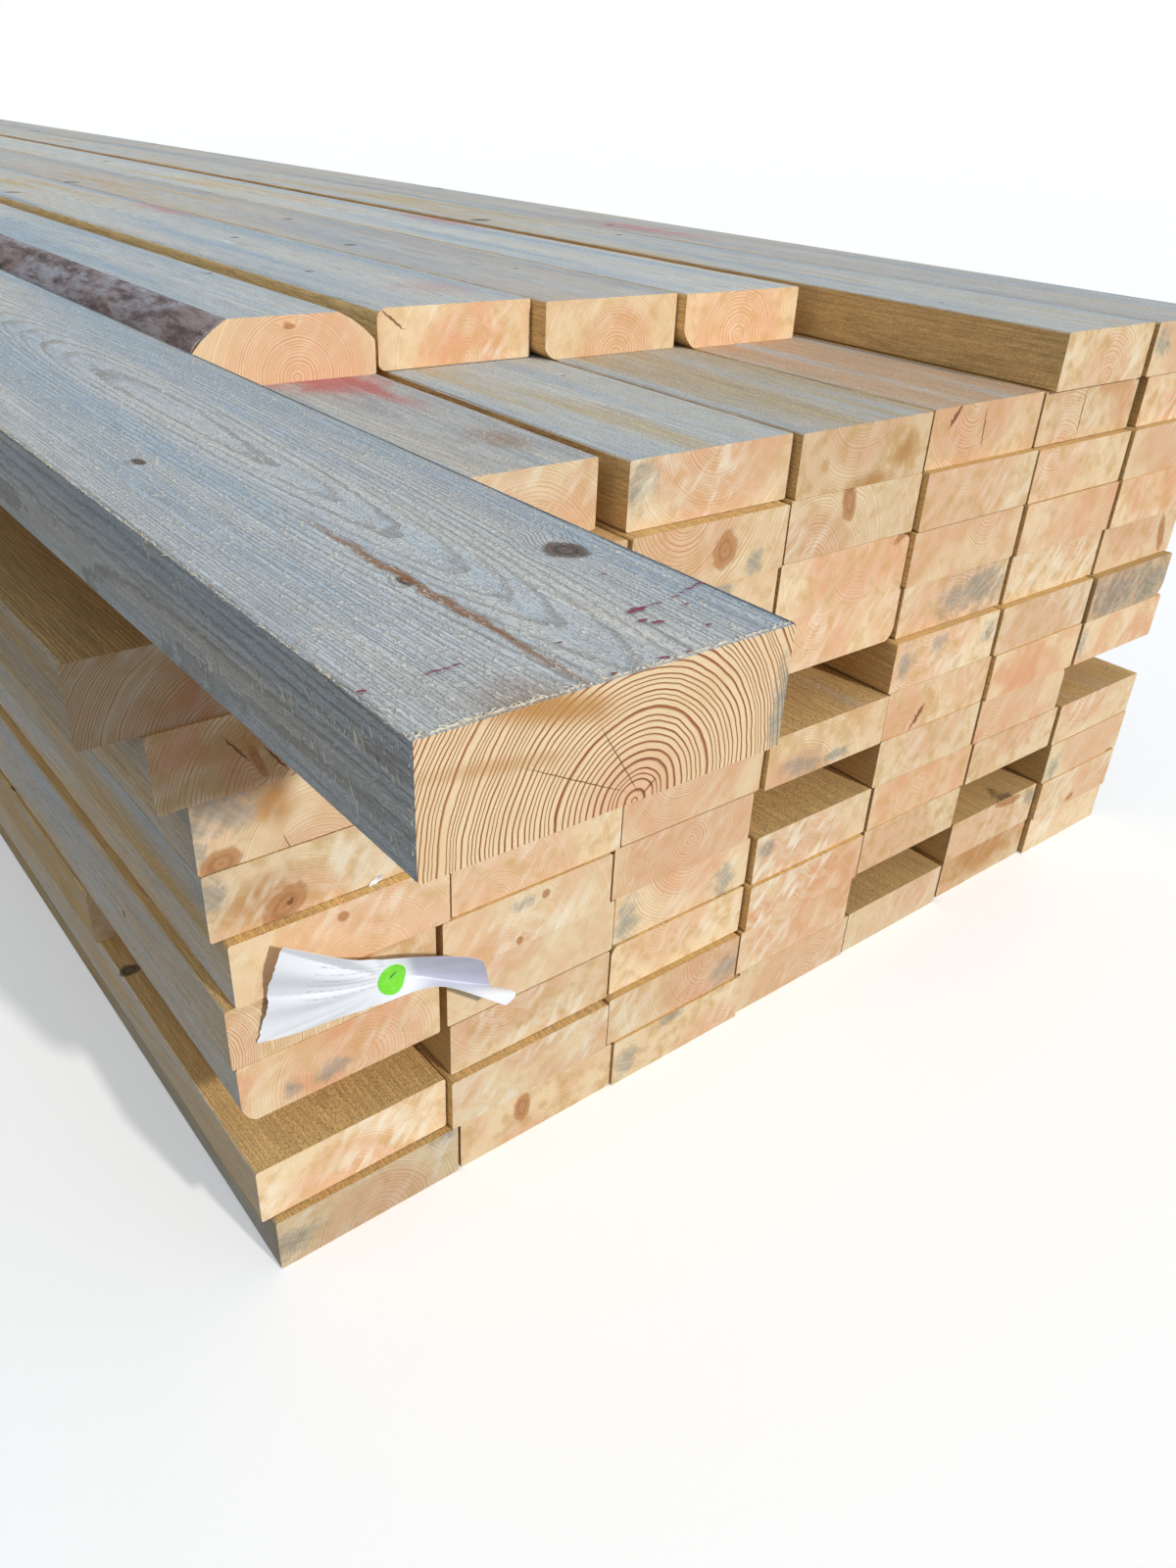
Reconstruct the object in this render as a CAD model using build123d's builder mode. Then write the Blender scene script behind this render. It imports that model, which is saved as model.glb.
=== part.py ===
from build123d import *
import os

# A pack of rough-sawn softwood boards, seven across and twelve high, all lying along Y.
# The photographed end faces -Y. Columns count from the left of that end, courses from the ground.
# The origin is on the underside, at the middle of the pack's width and of its standard length.

# Sawn section and lengths
board_width = 150.0
board_thickness = 48.0
arris = 1.2
standard_length = 4800.0
length_step = 300.0

# The pack
grid = (7, 12)
columns, courses = grid
column_gap = 2.7
end_lean = 1.5

# Saw tolerance: how much a board misses of its full width and thickness, in turn
width_losses = (0.0, 0.9, 0.4, 1.3, 0.2, 0.7)
thickness_losses = (0.0, 0.5, 0.2, 0.7, 0.1, 0.6, 0.3)
end_plays = (0.0, 3.0, -2.0, 4.0, 1.0, -3.0, 2.0, -1.0, 5.0)

# Boards of another sold length, as (column, course); the far ends stay in line
long_boards = [(1, 12)]
short_boards = [(2, 12), (3, 12), (4, 12), (5, 12)]
short_boards += [(1, 3), (4, 5), (4, 7), (5, 2), (6, 3), (7, 5)]

# How far a board lies to the right (+) or left (-) of its column, course by course
sideways = {
    (1, 1): 9.0, (2, 1): 8.0, (3, 1): 6.5, (4, 1): 5.0, (5, 1): 5.0, (6, 1): 10.0, (7, 1): 13.0,
    (1, 2): 2.0, (6, 2): 6.0, (7, 2): 10.0,
    (2, 3): 4.0, (3, 3): 4.0, (4, 3): 2.5, (5, 3): 4.0, (6, 3): 4.0, (7, 3): 8.0,
    (1, 4): -1.0, (2, 4): 2.0, (3, 4): 6.5, (4, 4): 6.0, (5, 4): 7.0, (6, 4): 7.5, (7, 4): 8.0,
    (1, 5): -3.0, (2, 5): -2.0, (5, 5): 2.0, (6, 5): 3.0,
    (1, 6): 4.0, (2, 6): 7.0, (3, 6): 6.0, (4, 6): 4.0, (5, 6): 3.0, (6, 6): 4.5, (7, 6): 6.0,
    (1, 7): -3.0, (6, 7): 1.0, (7, 7): 5.5,
    (1, 8): -4.0, (4, 8): 3.0, (5, 8): 5.5, (6, 8): 8.0, (7, 8): 10.5,
    (1, 9): -22.0, (5, 9): 2.0, (6, 9): 6.5, (7, 9): 11.0,
    (1, 10): -55.0, (4, 10): 2.0, (5, 10): 4.0, (6, 10): 7.0, (7, 10): 11.0,
    (1, 11): -6.0, (2, 11): -8.0, (3, 11): 2.5, (4, 11): 5.0, (5, 11): 7.0, (6, 11): 9.0, (7, 11): 22.0,
    (1, 12): -44.0, (2, 12): -9.0, (3, 12): -6.0, (4, 12): -8.0, (5, 12): -9.0, (6, 12): 12.0, (7, 12): 6.0,
}

# How far a board's end stands back (+) or out (-), beside the lean and the play of all ends
set_back = {
    (7, 1): -3.0, (7, 2): -7.0, (7, 3): -3.0,
    (4, 4): -3.5, (5, 4): -5.5, (7, 4): -4.5,
    (5, 5): -8.0, (6, 5): -7.5,
    (4, 6): -2.5, (5, 6): -4.5, (6, 6): -9.5, (7, 6): -13.5,
    (5, 7): -5.0, (6, 7): -5.5, (7, 7): -12.0,
    (5, 8): 4.5, (7, 8): -3.0,
    (4, 9): -3.0, (5, 9): -6.0, (6, 9): -10.0, (7, 9): -5.0,
    (5, 10): -6.5, (6, 10): -10.5, (7, 10): -11.5,
    (2, 11): 26.0, (3, 11): 8.0, (5, 11): 4.0, (7, 11): -4.5,
    (1, 12): -18.5, (2, 12): -4.0, (3, 12): 1.5, (4, 12): -11.5, (5, 12): -24.5, (6, 12): -7.0, (7, 12): -6.5,
}

# Boards sawn wider (+) or narrower (-) than the rest
widened = {
    (6, 1): 3.0, (6, 2): 4.0, (7, 3): 6.0, (2, 4): 4.0, (5, 4): 2.0, (7, 4): 7.0, (5, 5): 3.0, (6, 5): -3.0,
    (1, 6): 4.0, (5, 6): 3.0, (7, 6): 5.0, (5, 7): 2.0, (6, 7): 4.0, (4, 8): 3.5, (5, 8): 4.0, (6, 8): 3.5,
    (4, 9): 4.0, (5, 9): 5.0, (6, 9): 4.0, (4, 10): 3.0, (5, 10): 5.0, (6, 10): 4.0,
    (3, 11): 3.0, (5, 11): 4.0, (6, 11): 5.0, (6, 12): -10.0,
}

# Corners that are wane, the round outside of the log, as (across, down)
wane_bulge = 2.0
wane = {
    (2, 12): {"upper_left": (30.0, 24.0), "upper_right": (30.0, 22.0)},
    (3, 12): {"upper_left": (7.0, 9.0), "lower_left": (6.0, 7.0)},
    (4, 12): {"lower_left": (12.0, 10.0)},
    (5, 12): {"lower_left": (14.0, 17.0)},
    (4, 8): {"lower_right": (9.0, 11.0)},
    (4, 9): {"upper_right": (13.0, 6.0)},
    (7, 7): {"lower_right": (12.0, 14.0)},
    (1, 4): {"lower_left": (9.0, 15.0)},
    (2, 9): {"upper_left": (9.0, 8.0)},
    (6, 5): {"upper_right": (8.0, 9.0)},
    (3, 3): {"upper_left": (6.0, 10.0)},
}

# The delivery label: a torn slip of paper that arches off the wood towards its right part.
# Its outline is given as (across, up) and its plan as (across, out), from one board's lower left corner.
label_place = (1, 6)
label_thickness = 0.6
paper_gap = 0.3
label_torn_edge = [(9.0, -31.0), (19.0, -16.0), (18.0, 16.0), (26.0, 45.0)]
label_top = [(48.0, 30.0), (96.0, 10.0), (128.0, -6.0), (162.0, -23.0)]
label_tip = [(194.0, -62.0), (179.0, -66.0)]
label_bottom = [(136.0, -31.0), (107.0, -24.0), (57.0, -31.0)]
label_foot = (8.0, 0.0)
label_crest = (109.0, 20.0)
label_saddle = (146.0, 22.0)
label_curl_end = (195.0, 28.0)
label_half_reach = 70.0

# The round sticker on the label
dot_across = 97.0
dot_up = -10.0
dot_radius = 10.5
dot_thickness = 0.3
glue_gap = 0.05

column_pitch = board_width + column_gap
pack_width = columns * board_width + (columns - 1) * column_gap
end_face = -standard_length / 2


def board_length(place):
    """Sold length of the board at (column, course)"""
    if place in long_boards:
        return standard_length + length_step
    if place in short_boards:
        return standard_length - length_step
    return standard_length


def board_corner(place):
    """Lower left corner of the board's photographed end"""
    column, course = place
    x = -pack_width / 2 + (column - 1) * column_pitch + sideways.get(place, 0.0)
    play = end_plays[(2 * column + 5 * course) % len(end_plays)]
    lean = end_lean * (course - 1)
    y = end_face + standard_length - board_length(place) + lean + play + set_back.get(place, 0.0)
    z = (course - 1) * board_thickness
    return x, y, z


def board_plane(place):
    """Plane of the board's photographed end, with its lower left corner as origin"""
    return Plane(origin=board_corner(place), x_dir=(1, 0, 0), z_dir=(0, -1, 0))


def board_outline(place):
    """Closed outline of one board: four sides, with each corner an arris or a wane"""
    column, course = place
    width = board_width - width_losses[(column + 2 * course) % len(width_losses)]
    width += widened.get(place, 0.0)
    thickness = board_thickness - thickness_losses[(3 * column + 2 * course) % len(thickness_losses)]
    cuts = {name: (arris, arris) for name in ("lower_left", "lower_right", "upper_right", "upper_left")}
    cuts.update(wane.get(place, {}))
    lower_left, lower_right = cuts["lower_left"], cuts["lower_right"]
    upper_right, upper_left = cuts["upper_right"], cuts["upper_left"]
    corners = {
        "lower_left": ((0, lower_left[1]), (lower_left[0], 0)),
        "lower_right": ((width - lower_right[0], 0), (width, lower_right[1])),
        "upper_right": ((width, thickness - upper_right[1]), (width - upper_right[0], thickness)),
        "upper_left": ((upper_left[0], thickness), (0, thickness - upper_left[1])),
    }
    names = list(corners)
    with BuildLine() as outline:
        for name, following in zip(names, names[1:] + names[:1]):
            start, end = (Vector(*point) for point in corners[name])
            if name in wane.get(place, {}):
                outward = (end - start).rotate(Axis.Z, -90).normalized()
                ThreePointArc(start, (start + end) * 0.5 + outward * wane_bulge, end)
            else:
                Line(start, end)
            Line(end, corners[following][0])
    return outline.line


def write(part, name):
    """Write one node of the pack"""
    part.label = name
    export_step(part, f"parts/{name}.step")


os.makedirs("parts", exist_ok=True)

# Named boards of the top course
overhanging_place = (1, courses)
waney_place = (2, courses)

with BuildPart() as overhanging_board:
    with BuildSketch(board_plane(overhanging_place)):
        make_face(board_outline(overhanging_place).edges())
    extrude(amount=-board_length(overhanging_place))
write(overhanging_board.part, "overhanging_board")

with BuildPart() as waney_board:
    with BuildSketch(board_plane(waney_place)):
        make_face(board_outline(waney_place).edges())
    extrude(amount=-board_length(waney_place))
write(waney_board.part, "waney_board")

# The other boards, one node for each course
for course in range(1, courses + 1):
    places = [(column, course) for column in range(1, columns + 1)]
    with BuildPart() as course_of_boards:
        for place in places:
            if place not in (overhanging_place, waney_place):
                with BuildSketch(board_plane(place)):
                    make_face(board_outline(place).edges())
                extrude(amount=-board_length(place))
    write(course_of_boards.part, f"course_{course:02d}")

# The label touches the end of the board below with the foot of its torn edge only
column, course = label_place
label_board = board_corner(label_place)
below_board = board_corner((column, course - 1))
label_face = below_board[1] - paper_gap - label_thickness / 2
label_corner = Vector(label_board[0], label_face, label_board[2])


def in_plan(point):
    """A point of the label's plan, with its distance out of the wood turned towards -Y"""
    across, out = point
    return across, -out


with BuildPart() as delivery_label:
    with BuildSketch(Plane(origin=label_corner)):
        with BuildLine():
            rise = Line(in_plan(label_foot), in_plan(label_crest))
            saddle = TangentArc(rise @ 1, in_plan(label_saddle), tangent=rise % 1)
            TangentArc(saddle @ 1, in_plan(label_curl_end), tangent=saddle % 1)
        trace(line_width=label_thickness)
    extrude(amount=label_half_reach, both=True)
    with BuildSketch(Plane(origin=label_corner, x_dir=(1, 0, 0), z_dir=(0, -1, 0))):
        with BuildLine():
            Polyline(*label_torn_edge, *label_top, *label_tip, *label_bottom, close=True)
        make_face()
    extrude(amount=label_curl_end[1] + label_half_reach, both=True, mode=Mode.INTERSECT)
write(delivery_label.part, "delivery_label")

# The sticker lies on the straight part of the label's plan, parallel to it
foot, crest = (Vector(*in_plan(point)) for point in (label_foot, label_crest))
along = (crest - foot).normalized()
outward = along.rotate(Axis.Z, -90)
dot_in_plan = foot + along * ((dot_across - foot.X) / along.X) + outward * (label_thickness / 2 + glue_gap)
dot_centre = label_corner + dot_in_plan + Vector(0, 0, dot_up)
with BuildPart() as label_dot:
    with BuildSketch(Plane(origin=dot_centre, x_dir=along, z_dir=outward)):
        Circle(dot_radius)
    extrude(amount=dot_thickness)
write(label_dot.part, "label_dot")
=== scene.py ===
"""Looks of a pack of rough-sawn pine boards: one long board lies over the near end, one has bark on it."""

import logging
import math
import random
from collections.abc import Callable, Iterator
from contextlib import contextmanager
from dataclasses import dataclass, field, replace
from enum import Enum
from functools import partial

import bmesh
import bpy
import numpy as np
from mathutils import Matrix, Vector, noise


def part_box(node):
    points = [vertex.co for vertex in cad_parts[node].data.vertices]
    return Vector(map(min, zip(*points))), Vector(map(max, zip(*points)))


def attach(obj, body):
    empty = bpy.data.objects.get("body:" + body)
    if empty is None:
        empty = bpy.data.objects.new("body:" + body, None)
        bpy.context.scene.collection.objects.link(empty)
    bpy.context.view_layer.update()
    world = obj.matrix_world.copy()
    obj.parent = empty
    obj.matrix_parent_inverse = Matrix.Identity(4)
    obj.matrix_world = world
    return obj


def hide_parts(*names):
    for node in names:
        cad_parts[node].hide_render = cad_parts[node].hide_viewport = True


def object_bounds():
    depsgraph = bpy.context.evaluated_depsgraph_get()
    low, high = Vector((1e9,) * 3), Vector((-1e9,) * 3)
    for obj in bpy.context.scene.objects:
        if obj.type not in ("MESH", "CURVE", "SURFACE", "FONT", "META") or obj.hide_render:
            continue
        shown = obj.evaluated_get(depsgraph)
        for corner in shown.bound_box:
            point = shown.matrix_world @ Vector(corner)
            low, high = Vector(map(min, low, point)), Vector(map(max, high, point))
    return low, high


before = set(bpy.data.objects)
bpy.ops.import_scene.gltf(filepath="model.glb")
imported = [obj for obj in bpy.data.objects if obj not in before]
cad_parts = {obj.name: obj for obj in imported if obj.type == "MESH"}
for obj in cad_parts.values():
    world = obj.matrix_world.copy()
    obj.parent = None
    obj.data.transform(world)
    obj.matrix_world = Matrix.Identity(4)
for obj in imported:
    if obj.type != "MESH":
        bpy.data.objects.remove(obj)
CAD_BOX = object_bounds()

MM = 0.001
# Places nearer to each other than this, in metres, count as one.
TINY = 1e-4
# From the point that the slip is measured from to the left side of the slip's solid, in mm.
LABEL_FROM_SIDE = 13
LOG_SEED = 12
Place = tuple[int, int]
Point = tuple[float, float, float]
Feed = float | str | Point | bpy.types.Node | bpy.types.NodeSocket
Adder = Callable[..., bpy.types.Node]
SMOOTH = {"interpolation_type": "SMOOTHSTEP"}
MIX = {"data_type": "RGBA"}
MULTIPLY = {"data_type": "RGBA", "blend_type": "MULTIPLY"}
log = logging.getLogger("pack")


def linear(colour: str) -> tuple[float, float, float, float]:
    """Turn an sRGB hex colour into the linear one that Blender works with.

    Args:
        colour: six hex digits after a hash, such as "#E5C59A".

    Returns:
        Linear red, green, blue and an alpha of 1.
    """
    parts = (int(colour[i : i + 2], 16) / 255 for i in (1, 3, 5))
    return (*(c / 12.92 if c <= 0.04045 else ((c + 0.055) / 1.055) ** 2.4 for c in parts), 1.0)


def feed(node: bpy.types.Node, sockets: dict[int | str, Feed]) -> None:
    """Feed a node's sockets, by number or name, with another node, an output, a value or a hex colour."""
    for name, value in sockets.items():
        if isinstance(value, bpy.types.Node):
            value = next(socket for socket in value.outputs if socket.enabled)
        if isinstance(value, bpy.types.NodeSocket):
            node.id_data.links.new(value, node.inputs[name])
        else:
            node.inputs[name].default_value = linear(value) if isinstance(value, str) else value


def add(tree: bpy.types.NodeTree, kind: str, *feeds: Feed, **named: object) -> bpy.types.Node:
    """Add one shader node with its settings and with what feeds its sockets.

    Args:
        tree: the node tree that it goes in.
        kind: the node's type without its prefix, then its operation if it has one, such as "Math ADD".
        feeds: what feeds the open input sockets, in their order.
        named: the node's properties, and what feeds more of its sockets, by name.

    Returns:
        The new node. A MapRange takes a value, its pattern's low and high, and what each of them becomes.
    """
    kind, _, operation = kind.partition(" ")
    node = tree.nodes.new(f"ShaderNode{kind}")
    settings = {name: value for name, value in named.items() if hasattr(node, name)}
    for name, value in (settings | ({"operation": operation} if operation else {})).items():
        setattr(node, name, value)
    open_inputs = [i for i, socket in enumerate(node.inputs) if socket.enabled]
    feed(node, dict(zip(open_inputs, feeds)))
    feed(node, {name: value for name, value in named.items() if name not in settings})
    return node


def new_material(name: str) -> tuple[bpy.types.Material, Adder, bpy.types.Node]:
    """Start a material of nodes.

    Args:
        name: what the material is.

    Returns:
        The material, a function that adds nodes to it, and its shader.
    """
    made = bpy.data.materials.new(name)
    made.use_nodes = True
    return made, partial(add, made.node_tree), made.node_tree.nodes["Principled BSDF"]


def select_only(piece: bpy.types.Object) -> None:
    """Leave one object selected and active."""
    bpy.ops.object.select_all(action="DESELECT")
    piece.select_set(True)
    bpy.context.view_layer.objects.active = piece


@contextmanager
def editing() -> Iterator[None]:
    """Work on the active object in edit mode, with all of its mesh selected."""
    bpy.ops.object.mode_set(mode="EDIT")
    bpy.ops.mesh.select_all(action="SELECT")
    yield
    bpy.ops.object.mode_set(mode="OBJECT")


def start_from(shape: str, name: str, **sizes: float | str) -> bpy.types.Object:
    """Add one of Blender's basic shapes to start a piece from, alone selected.

    Args:
        shape: the basic shape, such as "grid".
        name: the piece's name.
        sizes: what the shape's own operator takes.

    Returns:
        The new object.
    """
    bpy.ops.object.select_all(action="DESELECT")
    getattr(bpy.ops.mesh, f"primitive_{shape}_add")(**sizes)
    bpy.context.object.name = name
    return bpy.context.object


def modify(piece: bpy.types.Object, kind: str, **settings: float | str) -> None:
    """Change a piece's mesh with one of Blender's modifiers.

    Args:
        piece: the piece.
        kind: the modifier's kind, such as "SOLIDIFY".
        settings: the modifier's properties.
    """
    select_only(piece)
    modifier = piece.modifiers.new(kind.lower(), kind)
    for name, value in settings.items():
        setattr(modifier, name, value)
    bpy.ops.object.modifier_apply(modifier=modifier.name)


def corners_of(mesh: bpy.types.Mesh) -> np.ndarray:
    """Read a mesh's vertices as rows of x, y, z."""
    found = np.empty(len(mesh.vertices) * 3, np.float32)
    mesh.vertices.foreach_get("co", found)
    return found.reshape(-1, 3).astype(float)


def set_corners(mesh: bpy.types.Mesh, places: np.ndarray) -> None:
    """Write a mesh's vertices back from rows of x, y, z."""
    mesh.vertices.foreach_set("co", places.astype(np.float32).ravel())
    mesh.update()


def write_attribute(mesh: bpy.types.Mesh, name: str, values: np.ndarray, domain: str = "POINT") -> None:
    """Store a number or a vector on each vertex or face, for a material to read.

    Args:
        mesh: the mesh that gets it.
        name: the attribute's name.
        values: one row for each vertex or face.
        domain: "POINT" or "FACE".
    """
    kind, key = ("FLOAT_VECTOR", "vector") if values.ndim == 2 else ("FLOAT", "value")
    mesh.attributes.new(name, kind, domain).data.foreach_set(key, values.astype(np.float32).ravel())


def scatter(template: bpy.types.Object, turns: list[Matrix], name: str) -> bpy.types.Object:
    """Copy a small model many times into one joined mesh, and delete the model.

    Args:
        template: the model, at the origin.
        turns: one matrix for each copy.
        name: the joined piece's name.

    Returns:
        The joined piece.
    """
    joined = bmesh.new()
    for turn in turns:
        copied = template.data.copy()
        copied.transform(turn)
        joined.from_mesh(copied)
        bpy.data.meshes.remove(copied)
    mesh = bpy.data.meshes.new(name)
    joined.to_mesh(mesh)
    joined.free()
    piece = bpy.data.objects.new(name, mesh)
    bpy.context.scene.collection.objects.link(piece)
    bpy.data.objects.remove(template)
    return piece


def declare(piece: bpy.types.Object, slot: str, *nodes: str) -> bpy.types.Object:
    """Make a finished piece ride on the pack and hide the solids it stands for.

    Args:
        piece: the finished piece.
        slot: a material slot's name; not used.
        nodes: the CAD nodes that it replaces.

    Returns:
        The piece.
    """
    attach(piece, "root")
    if nodes:
        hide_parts(*nodes)
    log.info("%s: %d faces", piece.name, len(piece.data.polygons))
    return piece


@dataclass(frozen=True)
class Spot:
    """A knot, a crack, a resin streak or a stained place: an ellipsoid in a board.

    Its centre is in mm from the lower left corner of the board's near end: across, into the board and up.
    Its turn is in degrees, against the clock as the near end is seen.
    """

    across: float
    deep: float
    up: float
    half_width: float
    half_depth: float
    half_height: float
    turn: float = 0.0

    def offsets(self, places: np.ndarray) -> np.ndarray:
        """Give each place's offset from the centre, in units of the spot's own half sizes."""
        x, y, z = (places - np.array((self.across, self.deep, self.up))).T
        cos, sin = math.cos(math.radians(self.turn)), math.sin(math.radians(self.turn))
        turned = np.stack([x * cos + z * sin, y, z * cos - x * sin], 1)
        return turned / (self.half_width, self.half_depth, self.half_height)


NOWHERE = Spot(0, -9000, 0, 100, 100, 100)


def end_knot(across: float, up: float, half_width: float, half_height: float, turn: float = 0.0) -> Spot:
    """Place a knot, or a stain, that the near end cuts through."""
    return Spot(across, 0, up, half_width, 35, half_height, turn)


@dataclass(frozen=True)
class Log:
    """How a board sat in its log, and what grew in it.

    Lengths are in mm, from the lower left corner of the board's near end. Strengths go from 0 to about 1: of
    the rings, of a pink blush, of the saw's streaks, of the blue stain, and of the brown of an open side.
    """

    pith_across: float
    pith_up: float
    heart_radius: float = 70.0
    ring_width: float = 3.0
    sway: float = 6.0
    stain: float = 0.1
    warmth: float = 0.5
    seed: float = 0.5
    rings: float = 0.3
    blush: float = 0.4
    shade: float = 1.0
    saw: float = 0.4
    brown: float = 0.0
    knots: tuple[Spot, ...] = ()
    stains: tuple[Spot, ...] = ()
    checks: tuple[Spot, ...] = ()
    soaked: tuple[Spot, ...] = ()
    paint: tuple[Spot, ...] = ()
    resin: tuple[Spot, ...] = ()


class WoodFigure:
    """The figure inside a pine log, as one node group that every cut of the wood shares.

    A cut shows whatever it meets: rings on an end, long arches on a face, a knot as an oval or a spike.
    """

    sway_length = 1.6
    whorl = 0.42
    knots_round = 5.0
    clear_of_end = 0.12
    knot_year = 0.24
    knot_taper = 0.12
    knot_start = 0.002
    spots = {
        "knots": ("knot_1", "knot_2", "knot_3"),
        "stains": ("stain_1", "stain_2", "stain_3"),
        "checks": ("check_1", "check_2", "check_3"),
        "soaked": ("soaked_1", "soaked_2"),
        "paint": ("paint_1", "paint_2"),
        "resin": ("resin_1",),
    }
    outputs = (
        "Late", "Heart", "Stain", "Knot", "Knot Ring", "Check", "Blotch", "Patch", "Fibre", "Resin", "Paint",
        "Soaked", "Warmth", "Rings", "Blush", "Shade",
    )

    def __init__(self) -> None:
        """Make the group and its sockets, and fill it."""
        self.tree = bpy.data.node_groups.new("pine_figure", "ShaderNodeTree")
        self.node = partial(add, self.tree)
        for name in self.outputs:
            self.tree.interface.new_socket(name=name, in_out="OUTPUT", socket_type="NodeSocketFloat")
        self.end = self.tree.nodes.new("NodeGroupOutput")
        self.read_board()
        self.find_radius()
        self.grow_knots()
        self.grow_rings()
        self.stain_sapwood()
        self.grain_fibres()

    def give(self, name: str, value: Feed) -> None:
        """Feed one of the group's outputs."""
        feed(self.end, {name: value})

    def nearest_spot(self, kind: str, bend: Feed = 0.0) -> bpy.types.Node:
        """Give the distance to the nearest spot of a kind, in units of its own size.

        Args:
            kind: the kind of spot.
            bend: how far, in the same units, the spot is bent across the board.

        Returns:
            The node that gives the distance.
        """
        node, nearest = self.node, None
        bent = node("CombineXYZ", bend)
        for name in self.spots[kind]:
            own = node("Attribute", attribute_name=name).outputs["Vector"]
            own = node("VectorMath ADD", own, bent)
            own = node("VectorMath LENGTH", own)
            nearest = own if nearest is None else node("Math MINIMUM", nearest, own)
        return nearest

    def read_board(self) -> None:
        """Read what the board's mesh says of its log."""
        node = self.node
        names = ("log", "grade", "look", "tone")
        read = [node("Attribute", attribute_name=name).outputs["Vector"] for name in names]
        self.place, grade, look, tone = read
        self.seed, self.heart, self.stain = node("SeparateXYZ", grade).outputs
        warmth, self.ring_width, self.sway = node("SeparateXYZ", look).outputs
        self.across, self.deep, self.up = node("SeparateXYZ", self.place).outputs
        for name, value in zip(("Rings", "Blush", "Shade"), node("SeparateXYZ", tone).outputs):
            self.give(name, value)
        self.give("Warmth", warmth)
        self.offset = node("Math MULTIPLY", self.seed, 41.0)
        self.shift = node("CombineXYZ", self.offset, self.offset, self.offset)

    def drawn_noise(self, stretch: Point, detail: float) -> bpy.types.Node:
        """Give noise of its own for each board, whose grains are one over the stretch in size, in metres."""
        stretched = self.node("VectorMath MULTIPLY", self.place, stretch)
        moved = self.node("VectorMath ADD", stretched, self.shift)
        return self.node("TexNoise", Vector=moved, Scale=1.0, Detail=detail)

    def find_radius(self) -> None:
        """Work out how far from the pith a point is, round a pith that sways along the log."""
        node = self.node
        turn = node("Math MULTIPLY", self.deep, 2 * math.pi / self.sway_length)
        rise = node("Math MULTIPLY", self.sway, node("Math SINE", turn))
        up = node("Math SUBTRACT", self.up, rise)
        late_turn = node("Math MULTIPLY_ADD", turn, 0.7, self.offset)
        across = node("Math MULTIPLY_ADD", node("Math SINE", late_turn), 0.004, self.across)
        section = node("CombineXYZ", across, 0.0, up)
        self.radius = node("VectorMath LENGTH", section)
        self.ray = node("VectorMath NORMALIZE", section)
        self.angle = node("Math ARCTAN2", up, across)
        self.slow = self.drawn_noise((26.0, 2.5, 26.0), 2.0)
        self.give("Blotch", self.slow)
        self.give("Patch", self.drawn_noise((70.0, 16.0, 70.0), 3.0))

    def grow_knots(self) -> None:
        """Grow knots in whorls round the pith, as cones that widen outwards, and the board's own knots."""
        node = self.node
        turn = 2 * math.pi / self.knots_round
        round_log = node("Math DIVIDE", self.angle, turn)
        along = node("Math MULTIPLY_ADD", self.deep, 1 / self.whorl, self.offset)
        at = node("CombineXYZ", round_log, along)
        cells = node("TexVoronoi", Vector=at, Scale=1.0, voronoi_dimensions="2D")
        gap = node("VectorMath SUBTRACT", at, cells.outputs["Position"])
        gap = node("SeparateXYZ", gap)
        arc = node("Math MULTIPLY", gap.outputs[0], node("Math MULTIPLY", self.radius, turn))
        length = node("Math MULTIPLY", gap.outputs[1], self.whorl)
        apart = node("CombineXYZ", arc, length)
        apart = node("VectorMath LENGTH", apart)
        luck = node("SeparateColor", cells.outputs["Color"])
        vigour = node("MapRange", luck, 0.6, 1.0, 0.0, 1.0)
        inside = node("MapRange", self.deep, self.clear_of_end, 2 * self.clear_of_end)
        vigour = node("Math MULTIPLY", vigour, inside)
        widest = node("Math MULTIPLY_ADD", self.radius, self.knot_taper, self.knot_start)
        size = node("Math MULTIPLY_ADD", vigour, widest, 1e-5)
        wild = node("Math DIVIDE", apart, size)
        nearest = node("Math MINIMUM", wild, self.nearest_spot("knots"))
        ragged = node("TexNoise", Vector=self.place, Scale=120.0, Detail=2.0)
        reach = node("Math MULTIPLY", nearest, node("Math MULTIPLY_ADD", ragged, 0.7, 0.65))
        knot = node("MapRange", reach, 0.75, 1.15, 1.0, 0.0, **SMOOTH)
        self.give("Knot", knot)
        wave = node("Math PINGPONG", reach, self.knot_year)
        self.give("Knot Ring", node("Math MULTIPLY", wave, 1 / self.knot_year))
        self.swirl = node("MapRange", nearest, 0.8, 2.6, 1.0, 0.0, **SMOOTH)
        jagged = node("TexNoise", Vector=self.place, Scale=240.0, Detail=1.0)
        crack = self.nearest_spot("checks", node("Math MULTIPLY_ADD", jagged, 2.4, -1.2))
        self.give("Check", node("MapRange", crack, 0.6, 1.15, 1.0, 0.0, **SMOOTH))

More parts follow.
